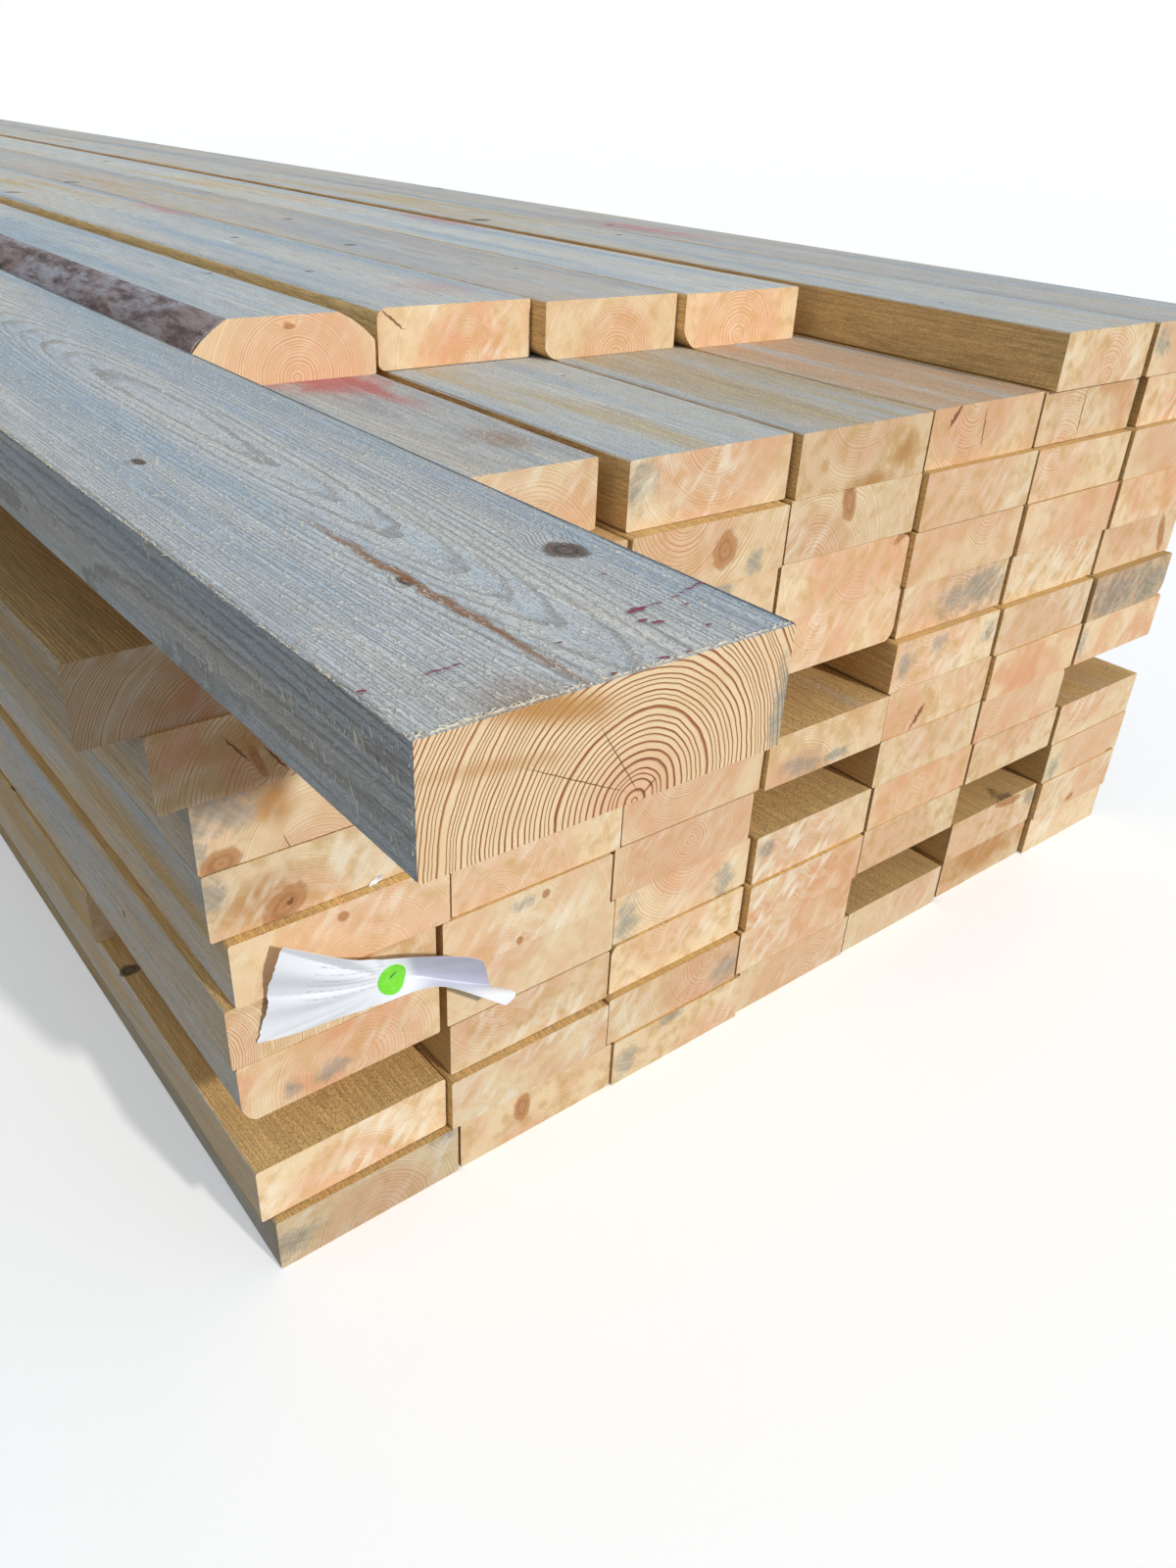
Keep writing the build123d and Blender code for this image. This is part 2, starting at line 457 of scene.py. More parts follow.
    def grow_rings(self) -> None:
        """Lay down the year rings: pale earlywood that darkens to a thin line of latewood, each year anew."""
        node = self.node
        wander = node("Math MULTIPLY_ADD", self.slow, 0.005, self.radius)
        wave = self.drawn_noise((5.0, 3.2, 5.0), 1.0)
        wander = node("Math MULTIPLY_ADD", wave, 0.009, wander)
        radius = node("Math MULTIPLY_ADD", self.swirl, 0.004, wander)
        fast = node("TexNoise", Vector=self.place, Scale=130.0, Detail=1.0)
        radius = node("Math MULTIPLY_ADD", fast, 0.0009, radius)
        older = node("Math MULTIPLY_ADD", node("Math MULTIPLY", radius, radius), 5.0, radius)
        years = node("Math DIVIDE", older, self.ring_width)
        uneven = node("TexNoise", W=years, Scale=0.21, Detail=1.0, noise_dimensions="1D")
        years = node("Math MULTIPLY_ADD", uneven, 3.0, years)
        season = node("Math FRACT", years)
        darken = node("MapRange", season, 0.58, 0.85, 0.0, 1.0, **SMOOTH)
        stop = node("MapRange", season, 0.95, 1.0, 1.0, 0.0, **SMOOTH)
        late = node("Math MULTIPLY", darken, stop)
        weather = node("TexWhiteNoise", W=node("Math FLOOR", years), noise_dimensions="1D")
        weather = node("MapRange", weather.outputs["Value"], 0.0, 1.0, 0.65, 1.0)
        self.give("Late", node("Math MULTIPLY", late, weather))
        near = node("Math SUBTRACT", wander, self.heart)
        self.heartwood = node("MapRange", near, 0.0, 0.018, 1.0, 0.0, **SMOOTH)
        self.give("Heart", self.heartwood)

    def stain_sapwood(self) -> None:
        """Let blue stain into the sapwood in wedges that follow the rays, and at the board's own places."""
        node = self.node
        wedge = node("VectorMath SCALE", self.ray, Scale=1.9)
        along = node("CombineXYZ", 0.0, node("Math MULTIPLY", self.deep, 1.3))
        wedge = node("VectorMath ADD", wedge, along)
        wedge = node("VectorMath ADD", wedge, self.shift)
        outward = node("Math MULTIPLY", self.radius, 14.0)
        patch = node("TexNoise", Vector=wedge, W=outward, Scale=1.0, Detail=3.0, noise_dimensions="4D")
        patch = node("Math ADD", patch, node("Math MULTIPLY_ADD", self.stain, 0.35, -0.74))
        patch = node("MapRange", patch, -0.02, 0.12, 0.0, 1.0, **SMOOTH)
        patch = node("Math MULTIPLY", patch, node("Math SUBTRACT", 1.0, self.heartwood))
        ragged = node("TexNoise", Vector=self.place, Scale=62.0, Detail=5.0, Roughness=0.7)
        own = node("Math MULTIPLY_ADD", ragged, 3.4, self.nearest_spot("stains"))
        own = node("MapRange", own, 1.9, 2.9, 1.0, 0.0, **SMOOTH)
        fine = node("VectorMath SCALE", self.ray, Scale=34.0)
        along = node("CombineXYZ", 0.0, node("Math MULTIPLY", self.deep, 9.0))
        fine = node("VectorMath ADD", fine, along)
        rays = node("TexNoise", Vector=fine, Scale=1.0, Detail=2.0)
        streaked = node("MapRange", rays, 0.3, 0.65, 0.5, 1.0)
        self.give("Stain", node("Math MULTIPLY", node("Math MAXIMUM", patch, own), streaked))

    def grain_fibres(self) -> None:
        """Add the fibres that run along the board, its resin streak and the paint that got on it."""
        node = self.node
        drawn = node("VectorMath MULTIPLY", self.place, (820.0, 24.0, 820.0))
        self.give("Fibre", node("TexNoise", Vector=drawn, Scale=1.0, Detail=4.0))
        uneven = node("TexNoise", Vector=self.place, Scale=60.0, Detail=3.0)
        for kind, sway, full in (("resin", 3.0, 0.3), ("paint", 1.6, 0.2), ("soaked", 0.9, 0.2)):
            own = self.nearest_spot(kind, node("Math MULTIPLY_ADD", uneven, sway, -sway / 2))
            found = node("MapRange", own, full, 1.2, 1.0, 0.0, **SMOOTH)
            self.give(kind.title(), found)


@dataclass(frozen=True)
class CutEnd:
    """Pine cut across the grain by a saw, not planed: each year ring shows, and so do the saw's streaks.

    Lengths are in mm. Each slant of the streaks is an angle in degrees and a strength. A cover says how far a
    knot, a crack or a soaked place hides the wood, from 0 to 1.
    """

    sap_early: str = "#F9DFB4"
    sap_late: str = "#98532F"
    heart_early: str = "#F2C9A0"
    heart_late: str = "#8F4A33"
    blush: str = "#E4A074"
    tan: str = "#D9AF74"
    stain: str = "#828C89"
    knot: str = "#C98C55"
    knot_line: str = "#A66C3F"
    # Painted shade: the dark colour of a crack stands for the shade inside its gap.
    crack: str = "#7A4527"
    soaked: str = "#C68F50"
    saw_streak: str = "#FFF4DC"
    roughness: float = 0.8
    shine: float = 0.25
    streak_length: float = 22.0
    tooth_mark: float = 7.5
    slants: tuple[tuple[float, float], ...] = ((54, 1.0), (-28, 0.45))
    fuzz: float = 0.55
    relief: float = 0.5
    soaked_cover: float = 0.9
    knot_cover: float = 0.82
    crack_cover: float = 0.85

    def material(self, figure: WoodFigure, name: str) -> bpy.types.Material:
        """Build the finish.

        Args:
            figure: the figure of the log.
            name: the material's name.

        Returns:
            The material.
        """
        made, node, shader = new_material(name)
        wood = node("Group", node_tree=figure.tree).outputs
        early = node("Mix", wood["Heart"], self.sap_early, self.heart_early, **MIX)
        late = node("Mix", wood["Heart"], self.sap_late, self.heart_late, **MIX)
        ring = node("Math MULTIPLY", wood["Late"], wood["Rings"])
        colour = node("Mix", ring, early, late, **MIX)
        pink = node("MapRange", wood["Blotch"], 0.4, 0.66, 0.08, 0.75, **SMOOTH)
        tanned = node("MapRange", wood["Patch"], 0.42, 0.7, 0.0, 0.9, **SMOOTH)
        saw = self.saw_streaks(node)
        hatched = node("Math MULTIPLY_ADD", saw, -0.8, 0.76)
        knot = node("Mix", wood["Knot Ring"], self.knot_line, self.knot, **MIX)
        layers = (
            (node("Math MULTIPLY", pink, wood["Blush"]), self.blush),
            (node("Math MULTIPLY", tanned, wood["Warmth"]), self.tan),
            (node("Math MULTIPLY", wood["Soaked"], self.soaked_cover), self.soaked),
            (saw, self.saw_streak),
            (node("Math MULTIPLY", wood["Stain"], hatched), self.stain),
            (node("Math MULTIPLY", wood["Knot"], self.knot_cover), knot),
            # Painted shade along the cracks.
            (node("Math MULTIPLY", wood["Check"], self.crack_cover), self.crack),
        )
        for share, over in layers:
            colour = node("Mix", share, colour, over, **MIX)
        colour = node("Mix", 1.0, colour, wood["Shade"], **MULTIPLY)
        place = node("TexCoord").outputs["Object"]
        grit = node("TexNoise", Vector=place, Scale=1000 / self.fuzz, Detail=2.0)
        mottle = node("MapRange", grit, 0.25, 0.75, 0.9, 1.08)
        colour = node("Mix", 1.0, colour, mottle, **MULTIPLY)
        height = node("Math MULTIPLY_ADD", wood["Late"], 0.5, grit)
        height = node("Math MULTIPLY_ADD", saw, 1.6, height)
        height = node("Math MULTIPLY_ADD", wood["Check"], -3.0, height)
        bump = node("Bump", Height=height, Strength=0.5, Distance=self.relief * MM)
        feed(shader, {"Base Color": colour, "Roughness": self.roughness, "Specular IOR Level": self.shine})
        feed(shader, {"Normal": bump})
        return made

    def saw_streaks(self, node: Adder) -> bpy.types.Node:
        """Draw the slanting marks of the saw that trimmed the pack, in patches, strong on some boards."""
        place = node("TexCoord").outputs["Object"]
        marks = 0.0
        for slant, share in self.slants:
            turned = node("Mapping", Vector=place, Rotation=(0.0, math.radians(slant), 0.0))
            stretch = (1000 / self.streak_length, 1.0, 1000 / self.tooth_mark)
            drawn = node("VectorMath MULTIPLY", turned, stretch)
            drawn = node("TexNoise", Vector=drawn, Scale=1.0, Detail=1.5)
            drawn = node("MapRange", drawn, 0.42, 0.72, 0.0, share, **SMOOTH)
            marks = node("Math MAXIMUM", drawn, marks)
        where = node("TexNoise", Vector=place, Scale=14.0, Detail=1.0)
        where = node("MapRange", where, 0.4, 0.64, 0.25, 0.85, **SMOOTH)
        own = node("Attribute", attribute_name="saw").outputs["Fac"]
        marks = node("Math MULTIPLY", marks, where)
        return node("Math MULTIPLY", marks, own)


@dataclass(frozen=True)
class SawnFace:
    """Pine sawn along the grain and left rough: golden where it lay covered, grey in the open, its blue
    partly painted sky reflection.

    Lengths are in mm. A cover says how far a knot, resin, stain or paint hides the wood, from 0 to 1. The
    stops are where each of the open side's colours lies in its streaks.
    """

    fresh_early: str = "#EFC582"
    fresh_late: str = "#BC8A52"
    # Partly painted reflection: the blue of weathered wood also stands for sky reflected by the open sides.
    open_blue_and_sky: str = "#B7CBDA"
    open_grey: str = "#D0D9DC"
    open_pale: str = "#E1E2DC"
    open_warm: str = "#DFCBA4"
    open_stops: tuple[float, ...] = (0.34, 0.45, 0.56, 0.68)
    open_late: str = "#8B8681"
    brown: str = "#E2BA93"
    stain: str = "#9DAEB8"
    knot: str = "#3B302B"
    knot_ring: str = "#816957"
    soaked: str = "#B0937C"
    resin: str = "#965F2B"
    # Painted highlight: the pale flecks in the resin streak stand for glints on the resin.
    resin_glint: str = "#F0E4D2"
    paint: str = "#DC716C"
    # Partly painted highlight: the torn fibres are pale, and their flecks also stand for glints.
    fluff_and_glint: str = "#FFF8E6"
    roughness: float = 0.84
    shine: float = 0.2
    fur: float = 1.35
    open_streaks: Point = (24.0, 1.3, 24.0)
    relief: float = 0.9
    stain_cover: float = 0.7
    soaked_cover: float = 0.75
    knot_cover: float = 0.9
    resin_cover: float = 0.85
    paint_cover: float = 0.75

    def open_colour(self, node: Adder, place: Feed, warmth: Feed) -> bpy.types.Node:
        """Run long soft streaks of blue-grey, pale grey and straw along wood that lay in the open; their blue
        is partly painted sky reflection.

        Args:
            node: adds a node to the material.
            place: the place in the log.
            warmth: how much straw the board has.

        Returns:
            The node that gives the colour.
        """
        drawn = node("VectorMath MULTIPLY", place, self.open_streaks)
        broad = node("TexNoise", Vector=drawn, Scale=1.0, Detail=4.0, Roughness=0.55)
        warmed = node("Math MULTIPLY_ADD", warmth, 0.12, -0.06)
        ramp = node("ValToRGB", node("Math ADD", broad, warmed))
        colours = (self.open_blue_and_sky, self.open_grey, self.open_pale, self.open_warm)
        for i, (at, colour) in enumerate(zip(self.open_stops, colours)):
            stop = ramp.color_ramp.elements[i] if i < 2 else ramp.color_ramp.elements.new(at)
            stop.position = at
            stop.color = linear(colour)
        return ramp

    def material(self, figure: WoodFigure, name: str) -> bpy.types.Material:
        """Build the finish.

        Args:
            figure: the figure of the log.
            name: the material's name.

        Returns:
            The material.
        """
        made, node, shader = new_material(name)
        wood = node("Group", node_tree=figure.tree).outputs
        place = node("Attribute", attribute_name="log").outputs["Vector"]
        ring = node("Math MULTIPLY_ADD", wood["Rings"], 0.34, 0.16)
        ring = node("Math MULTIPLY", wood["Late"], ring)
        fresh = node("Mix", ring, self.fresh_early, self.fresh_late, **MIX)
        grey = self.open_colour(node, place, wood["Warmth"])
        own = node("Attribute", attribute_name="brown").outputs["Fac"]
        browned = node("MapRange", wood["Blotch"], 0.36, 0.6, 0.35, 1.0, **SMOOTH)
        layers = (
            (ring, self.open_late),
            (node("Math MULTIPLY", browned, own), self.brown),
            (node("Math MULTIPLY", wood["Stain"], self.stain_cover), self.stain),
            (node("Math MULTIPLY", wood["Soaked"], self.soaked_cover), self.soaked),
        )
        for share, over in layers:
            grey = node("Mix", share, grey, over, **MIX)
        weather = node("Attribute", attribute_name="weather").outputs["Fac"]
        patchy = node("Math SUBTRACT", wood["Blotch"], 0.5)
        patchy = node("Math ADD", patchy, weather)
        patchy = node("MapRange", patchy, 0.2, 0.75, 0.0, 1.0, **SMOOTH)
        colour = node("Mix", patchy, fresh, grey, **MIX)
        fibre = node("MapRange", wood["Fibre"], 0.25, 0.75, 0.68, 1.2)
        colour = node("Mix", 1.0, colour, fibre, **MULTIPLY)
        # Partly painted highlight: pale fibre flecks, whiter where the wood lay open, also stand for glints
        # on the raised fibres.
        fluff_and_glint = self.fluffed(node, place)
        white = node("Math MULTIPLY_ADD", patchy, 0.52, 0.06)
        rim = node("Mix", wood["Knot Ring"], self.knot, self.knot_ring, **MIX)
        # Painted highlight: glints on the resin streak.
        resin_glint_share = node("Math MULTIPLY", fluff_and_glint, wood["Fibre"])
        gum = node("Mix", resin_glint_share, self.resin, self.resin_glint, **MIX)
        layers = (
            (node("Math MULTIPLY", fluff_and_glint, white), self.fluff_and_glint),
            (node("Math MULTIPLY", wood["Knot"], self.knot_cover), rim),
            (node("Math MULTIPLY", wood["Resin"], self.resin_cover), gum),
            (node("Math MULTIPLY", wood["Paint"], self.paint_cover), self.paint),
        )
        for share, over in layers:
            colour = node("Mix", share, colour, over, **MIX)
        # Painted shade: a side's colour is darkened by its share of painted shade, as on the long board's
        # outer side.
        painted_shade_share = node("Attribute", attribute_name="grime").outputs["Fac"]
        tone_less_painted_shade = node("Math SUBTRACT", wood["Shade"], painted_shade_share)
        colour = node("Mix", 1.0, colour, tone_less_painted_shade, **MULTIPLY)
        height = node("Math MULTIPLY_ADD", wood["Late"], 0.6, wood["Fibre"])
        height = node("Math ADD", height, fluff_and_glint)
        bump = node("Bump", Height=height, Strength=0.75, Distance=self.relief * MM)
        feed(shader, {"Base Color": colour, "Roughness": self.roughness, "Specular IOR Level": self.shine})
        feed(shader, {"Normal": bump})
        return made

    def fluffed(self, node: Adder, place: Feed) -> bpy.types.Node:
        """Raise the short pale fibres that a saw tears up, as grains a little longer along the board; their
        paleness is partly painted glint.
        """
        stretch = (1000 / self.fur, 400 / self.fur, 1000 / self.fur)
        drawn = node("VectorMath MULTIPLY", place, stretch)
        grains = node("TexNoise", Vector=drawn, Scale=1.0, Detail=3.0, Roughness=0.65)
        return node("MapRange", grains, 0.5, 0.63, 0.0, 1.0, **SMOOTH)


@dataclass(frozen=True)
class PineBark:
    """Thin upper bark of pine, left on by the saw: mottled flakes of purple-brown, grey and rust."""

    flake: str = "#93878A"
    grey_flake: str = "#B3B4BB"
    joint: str = "#5C4F4D"
    rust: str = "#93705F"
    roughness: float = 0.92
    flake_size: float = 11.0
    patch_size: float = 130.0
    relief: float = 1.2

    def material(self, name: str) -> bpy.types.Material:
        """Build the finish under the given name."""
        made, node, shader = new_material(name)
        place = node("TexCoord").outputs["Object"]
        stretch = (1000 / self.flake_size, 260 / self.flake_size, 1000 / self.flake_size)
        drawn = node("VectorMath MULTIPLY", place, stretch)
        flakes = node("TexNoise", Vector=drawn, Scale=1.0, Detail=6.0, Roughness=0.68)
        patches = node("TexNoise", Vector=place, Scale=1000 / self.patch_size, Detail=2.0)
        layers = (
            (node("MapRange", patches, 0.45, 0.62, 0.05, 0.55, **SMOOTH), self.rust),
            (node("MapRange", flakes, 0.36, 0.54, 1.0, 0.0, **SMOOTH), self.joint),
        )
        greyed = node("MapRange", flakes, 0.46, 0.66, **SMOOTH)
        colour = node("Mix", greyed, self.flake, self.grey_flake, **MIX)
        for share, over in layers:
            colour = node("Mix", share, colour, over, **MIX)
        grit = node("TexNoise", Vector=place, Scale=700.0, Detail=3.0)
        grit = node("MapRange", grit, 0.3, 0.7, 0.8, 1.15)
        colour = node("Mix", 1.0, colour, grit, **MULTIPLY)
        height = node("Math MULTIPLY_ADD", flakes, 3.0, grit)
        bump = node("Bump", Height=height, Strength=0.8, Distance=self.relief * MM)
        feed(shader, {"Base Color": colour, "Roughness": self.roughness, "Normal": bump})
        return made


@dataclass(frozen=True)
class CopyPaper:
    """Thin uncoated copy paper: cool white with soft creases and pale rules, with painted shade of violet
    grey where it folds over.
    """

    white: str = "#F2F5FA"
    # Painted shade: the part that folds over is tinted violet grey for the shade it leans into.
    painted_fold_shade: str = "#C9C7D8"
    rule: str = "#9A9DA8"
    roughness: float = 0.7
    shine: float = 0.3
    fold_from: float = 0.54
    fold_above: float = 0.5
    rules: int = 5
    first_rule: float = 0.4
    rule_pitch: float = 0.085
    rule_ends: tuple[float, float] = (0.14, 0.44)
    soft_edge: float = 0.02

    def material(self, name: str) -> bpy.types.Material:
        """Build the finish under the given name."""
        made, node, shader = new_material(name)
        sheet = node("UVMap", uv_map="sheet")
        across, up, _ = node("SeparateXYZ", sheet).outputs
        last = self.first_rule + self.rules * self.rule_pitch
        row = node("Math SUBTRACT", up, self.first_rule)
        row = node("Math PINGPONG", row, self.rule_pitch / 2)
        line = node("MapRange", row, 0.005, 0.012, 1.0, 0.0, **SMOOTH)
        for socket, start, stop in ((across, *self.rule_ends), (up, self.first_rule - self.soft_edge, last)):
            inside = node("MapRange", socket, start, start + self.soft_edge, **SMOOTH)
            outside = node("MapRange", socket, stop, stop + self.soft_edge, 1.0, 0.0, **SMOOTH)
            inside = node("Math MULTIPLY", inside, outside)
            line = node("Math MULTIPLY", line, inside)
        worn = node("TexNoise", Vector=sheet, Scale=60.0, Detail=2.0)
        worn = node("MapRange", worn, 0.42, 0.6, 0.1, 0.6, **SMOOTH)
        line = node("Math MULTIPLY", line, worn)
        colour = node("Mix", line, self.white, self.rule, **MIX)
        # Painted shade on the part right of fold_from and above fold_above, which leans into shade.
        fold_shade_share = node("MapRange", across, self.fold_from, self.fold_from + 0.07, **SMOOTH)
        above = node("MapRange", up, self.fold_above, self.fold_above + 0.05, **SMOOTH)
        fold_shade_share = node("Math MULTIPLY", fold_shade_share, above)
        colour = node("Mix", fold_shade_share, colour, self.painted_fold_shade, **MIX)
        place = node("TexCoord").outputs["Object"]
        crumple = node("TexVoronoi", Vector=place, Scale=85.0, feature="DISTANCE_TO_EDGE")
        bump = node("Bump", Height=crumple, Strength=0.25, Distance=0.001)
        feed(shader, {"Base Color": colour, "Roughness": self.roughness, "Specular IOR Level": self.shine})
        feed(shader, {"Normal": bump})
        return made


@dataclass(frozen=True)
class PlainCoat:
    """A coat of one pigment over wood or paper, such as marking ink or a dye: even, with small faults."""

    colour: str
    fault: str
    fault_size: float
    roughness: float
    strength: float = 0.5

    def material(self, name: str) -> bpy.types.Material:
        """Build the finish under the given name."""
        made, node, shader = new_material(name)
        place = node("TexCoord").outputs["Object"]
        faults = node("TexNoise", Vector=place, Scale=1000 / self.fault_size, Detail=3.0)
        seen = node("MapRange", faults, 0.45, 0.72, 0.0, self.strength, **SMOOTH)
        colour = node("Mix", seen, self.colour, self.fault, **MIX)
        bump = node("Bump", Height=faults, Strength=0.2, Distance=0.0003)
        feed(shader, {"Base Color": colour, "Roughness": self.roughness, "Normal": bump})
        return made


GREEN_STICKER = PlainCoat("#78E02F", "#A6F26A", 4.0, 0.45, 0.35)
MARKING_INK = PlainCoat("#7A1440", "#B06C80", 1.2, 0.6, 0.35)
TORN_FIBRE = PlainCoat("#E9E0CB", "#C9AE82", 6.0, 0.85, 0.7)
PEN_INK = PlainCoat("#3E7A2C", "#2E4A2A", 2.0, 0.5)


class Side(Enum):
    """The six sides of a board, each with its share of the board's map as left, low, right and high."""

    NEAR = (0.01, 0.71, 0.89, 0.99)
    FAR = (0.90, 0.71, 0.99, 0.99)
    TOP = (0.01, 0.47, 0.99, 0.69)
    BOTTOM = (0.01, 0.26, 0.99, 0.45)
    LEFT = (0.01, 0.13, 0.99, 0.24)
    RIGHT = (0.01, 0.01, 0.99, 0.12)


@dataclass
class Board:
    """One sawn board, shaped from its solid: its arrises worn unevenly, and its log written on it.

    Trims, wear and its length are in mm. An edge longer than long_edge, in metres, runs along the board.
    """

    column: int
    course: int
    log: Log
    trim_end: float = 0.0
    trim_top: float = 0.0
    cuts: int = 22
    crowding: float = 2.2
    wear: float = 1.1
    wear_length: float = 140.0
    long_edge: float = 1.0
    piece: bpy.types.Object = field(default=None)

    def shape(self, blank: bpy.types.Object) -> None:
        """Turn the board's welded blank into the board.

        Args:
            blank: a copy of the solid, with its doubles merged.
        """
        self.piece = blank
        blank.name = f"sawn_board_{self.column}_{self.course:02d}"
        select_only(blank)
        with editing():
            bpy.ops.mesh.dissolve_limited(angle_limit=math.radians(0.5))
            self.subdivide_along()
        if blank.data.has_custom_normals:
            bpy.ops.mesh.customdata_custom_splitnormals_clear()
        bpy.ops.object.shade_flat()
        self.crowd_and_wear()

    def subdivide_along(self) -> None:
        """Cut the board's long edges, in edit mode."""
        bpy.ops.mesh.select_all(action="DESELECT")
        bpy.ops.object.mode_set(mode="OBJECT")
        mesh = self.piece.data
        for edge in mesh.edges:
            a, b = (mesh.vertices[i].co for i in edge.vertices)
            edge.select = abs(a.y - b.y) > self.long_edge
        bpy.ops.object.mode_set(mode="EDIT")
        bpy.ops.mesh.select_mode(type="EDGE")
        bpy.ops.mesh.subdivide(number_cuts=self.cuts)
        bpy.ops.mesh.select_mode(type="VERT")

    def crowd_and_wear(self) -> None:
        """Bring the cuts closer towards the near end, and wear each arris inwards by an uneven amount."""
        places = corners_of(self.piece.data)
        places[places[:, 1] < places[:, 1].min() + TINY, 1] += self.trim_end * MM
        places[places[:, 2] > places[:, 2].max() - TINY, 2] -= self.trim_top * MM
        low, high = places.min(0), places.max(0)
        middle = (low + high) / 2
        share = (places[:, 1] - low[1]) / (high[1] - low[1])
        places[:, 1] = low[1] + share**self.crowding * (high[1] - low[1])
        inside = (share > TINY) & (share < 1 - TINY)
        for i in np.flatnonzero(inside):
            x, y, z = places[i]
            at = Vector((x > middle[0], z > middle[2], 7.3 * self.column + 3.1 * self.course)) * 9.0
            at.x += y / (self.wear_length * MM)
            worn = max(noise.noise(at), 0.0) * 2.0 * self.wear * MM
            axis = 2 if min(x - low[0], high[0] - x) < 2 * TINY else 0
            places[i, axis] += math.copysign(worn, middle[axis] - places[i, axis])
        set_corners(self.piece.data, places)

    def sides(self) -> np.ndarray:
        """Say which side each face is on, as its number in the order of Side."""
        mesh = self.piece.data
        normals = np.empty(len(mesh.polygons) * 3, np.float32)
        mesh.polygons.foreach_get("normal", normals)
        x, y, z = normals.reshape(-1, 3).T
        ends = np.where(y < 0, 0, 1)
        flat = np.where(z > 0, 2, 3)
        edge = np.where(x < 0, 4, 5)
        return np.where(np.abs(y) > 0.7, ends, np.where(np.abs(z) >= np.abs(x), flat, edge))

    def local_places(self) -> np.ndarray:
        """Give each vertex in mm from the lower left corner of the board's near end."""
        places = corners_of(self.piece.data)
        return (places - places.min(0)) / MM

    def write_log(self, weather: dict[Side, float], grime: dict[Side, float]) -> None:
        """Write on the mesh how the board sat in its log, how weathered each side is, and how much painted
        shade it gets.

        Args:
            weather: for each long side, 0 for fresh wood to 1 for wood that lay open.
            grime: for each side that gets painted shade, the share by which its colour is darkened.
        """
        mesh, own = self.piece.data, self.log
        places = self.local_places()
        rows = np.ones((len(places), 1))
        carried = {
            "log": (places - (own.pith_across, 0, own.pith_up)) * MM,
            "grade": rows * (own.seed, own.heart_radius * MM, own.stain),
            "look": rows * (own.warmth, own.ring_width * MM, own.sway * MM),
            "tone": rows * (own.rings, own.blush, own.shade),
            "saw": rows[:, 0] * own.saw,
            "brown": rows[:, 0] * own.brown,
        }
        for name, values in carried.items():
            write_attribute(mesh, name, values)
        for kind, names in WoodFigure.spots.items():
            spots = getattr(own, kind)
            for i, name in enumerate(names):
                write_attribute(mesh, name, (spots[i] if i < len(spots) else NOWHERE).offsets(places))
        for name, levels in (("weather", weather), ("grime", grime)):
            by_side = np.array([levels.get(s, 0.0) for s in Side])
            write_attribute(mesh, name, by_side[self.sides()], "FACE")

    def lay_map(self) -> None:
        """Lay the board's sides out on a map on which the near end, with its rings, has most room."""
        mesh = self.piece.data
        places = self.local_places()
        share = places / places.max(0)
        loops = np.empty(len(mesh.loops), np.int32)
        mesh.loops.foreach_get("vertex_index", loops)
        totals = np.empty(len(mesh.polygons), np.int32)
        mesh.polygons.foreach_get("loop_total", totals)
        x, y, z = share[loops].T
        kind = np.repeat(self.sides(), totals)
        first = np.select([kind == 0, kind == 1], [x, z], y)
        second = np.select([kind == 0, kind == 1, kind == 2, kind == 3], [z, x, x, x], z)
        low_x, low_y, high_x, high_y = np.array([s.value for s in Side])[kind].T
        uv = np.stack([low_x + first * (high_x - low_x), low_y + second * (high_y - low_y)], 1)
        mesh.uv_layers.new(name="OFBake").uv.foreach_set("vector", uv.astype(np.float32).ravel())

    def dress(self, end: bpy.types.Material, face: bpy.types.Material) -> None:
        """Give the cut ends and the sawn faces their finishes."""
        mesh = self.piece.data
        mesh.materials.clear()
        for finish in (end, face):
            mesh.materials.append(finish)
        mesh.polygons.foreach_set("material_index", (self.sides() > 1).astype(np.int32))
        mesh.update()


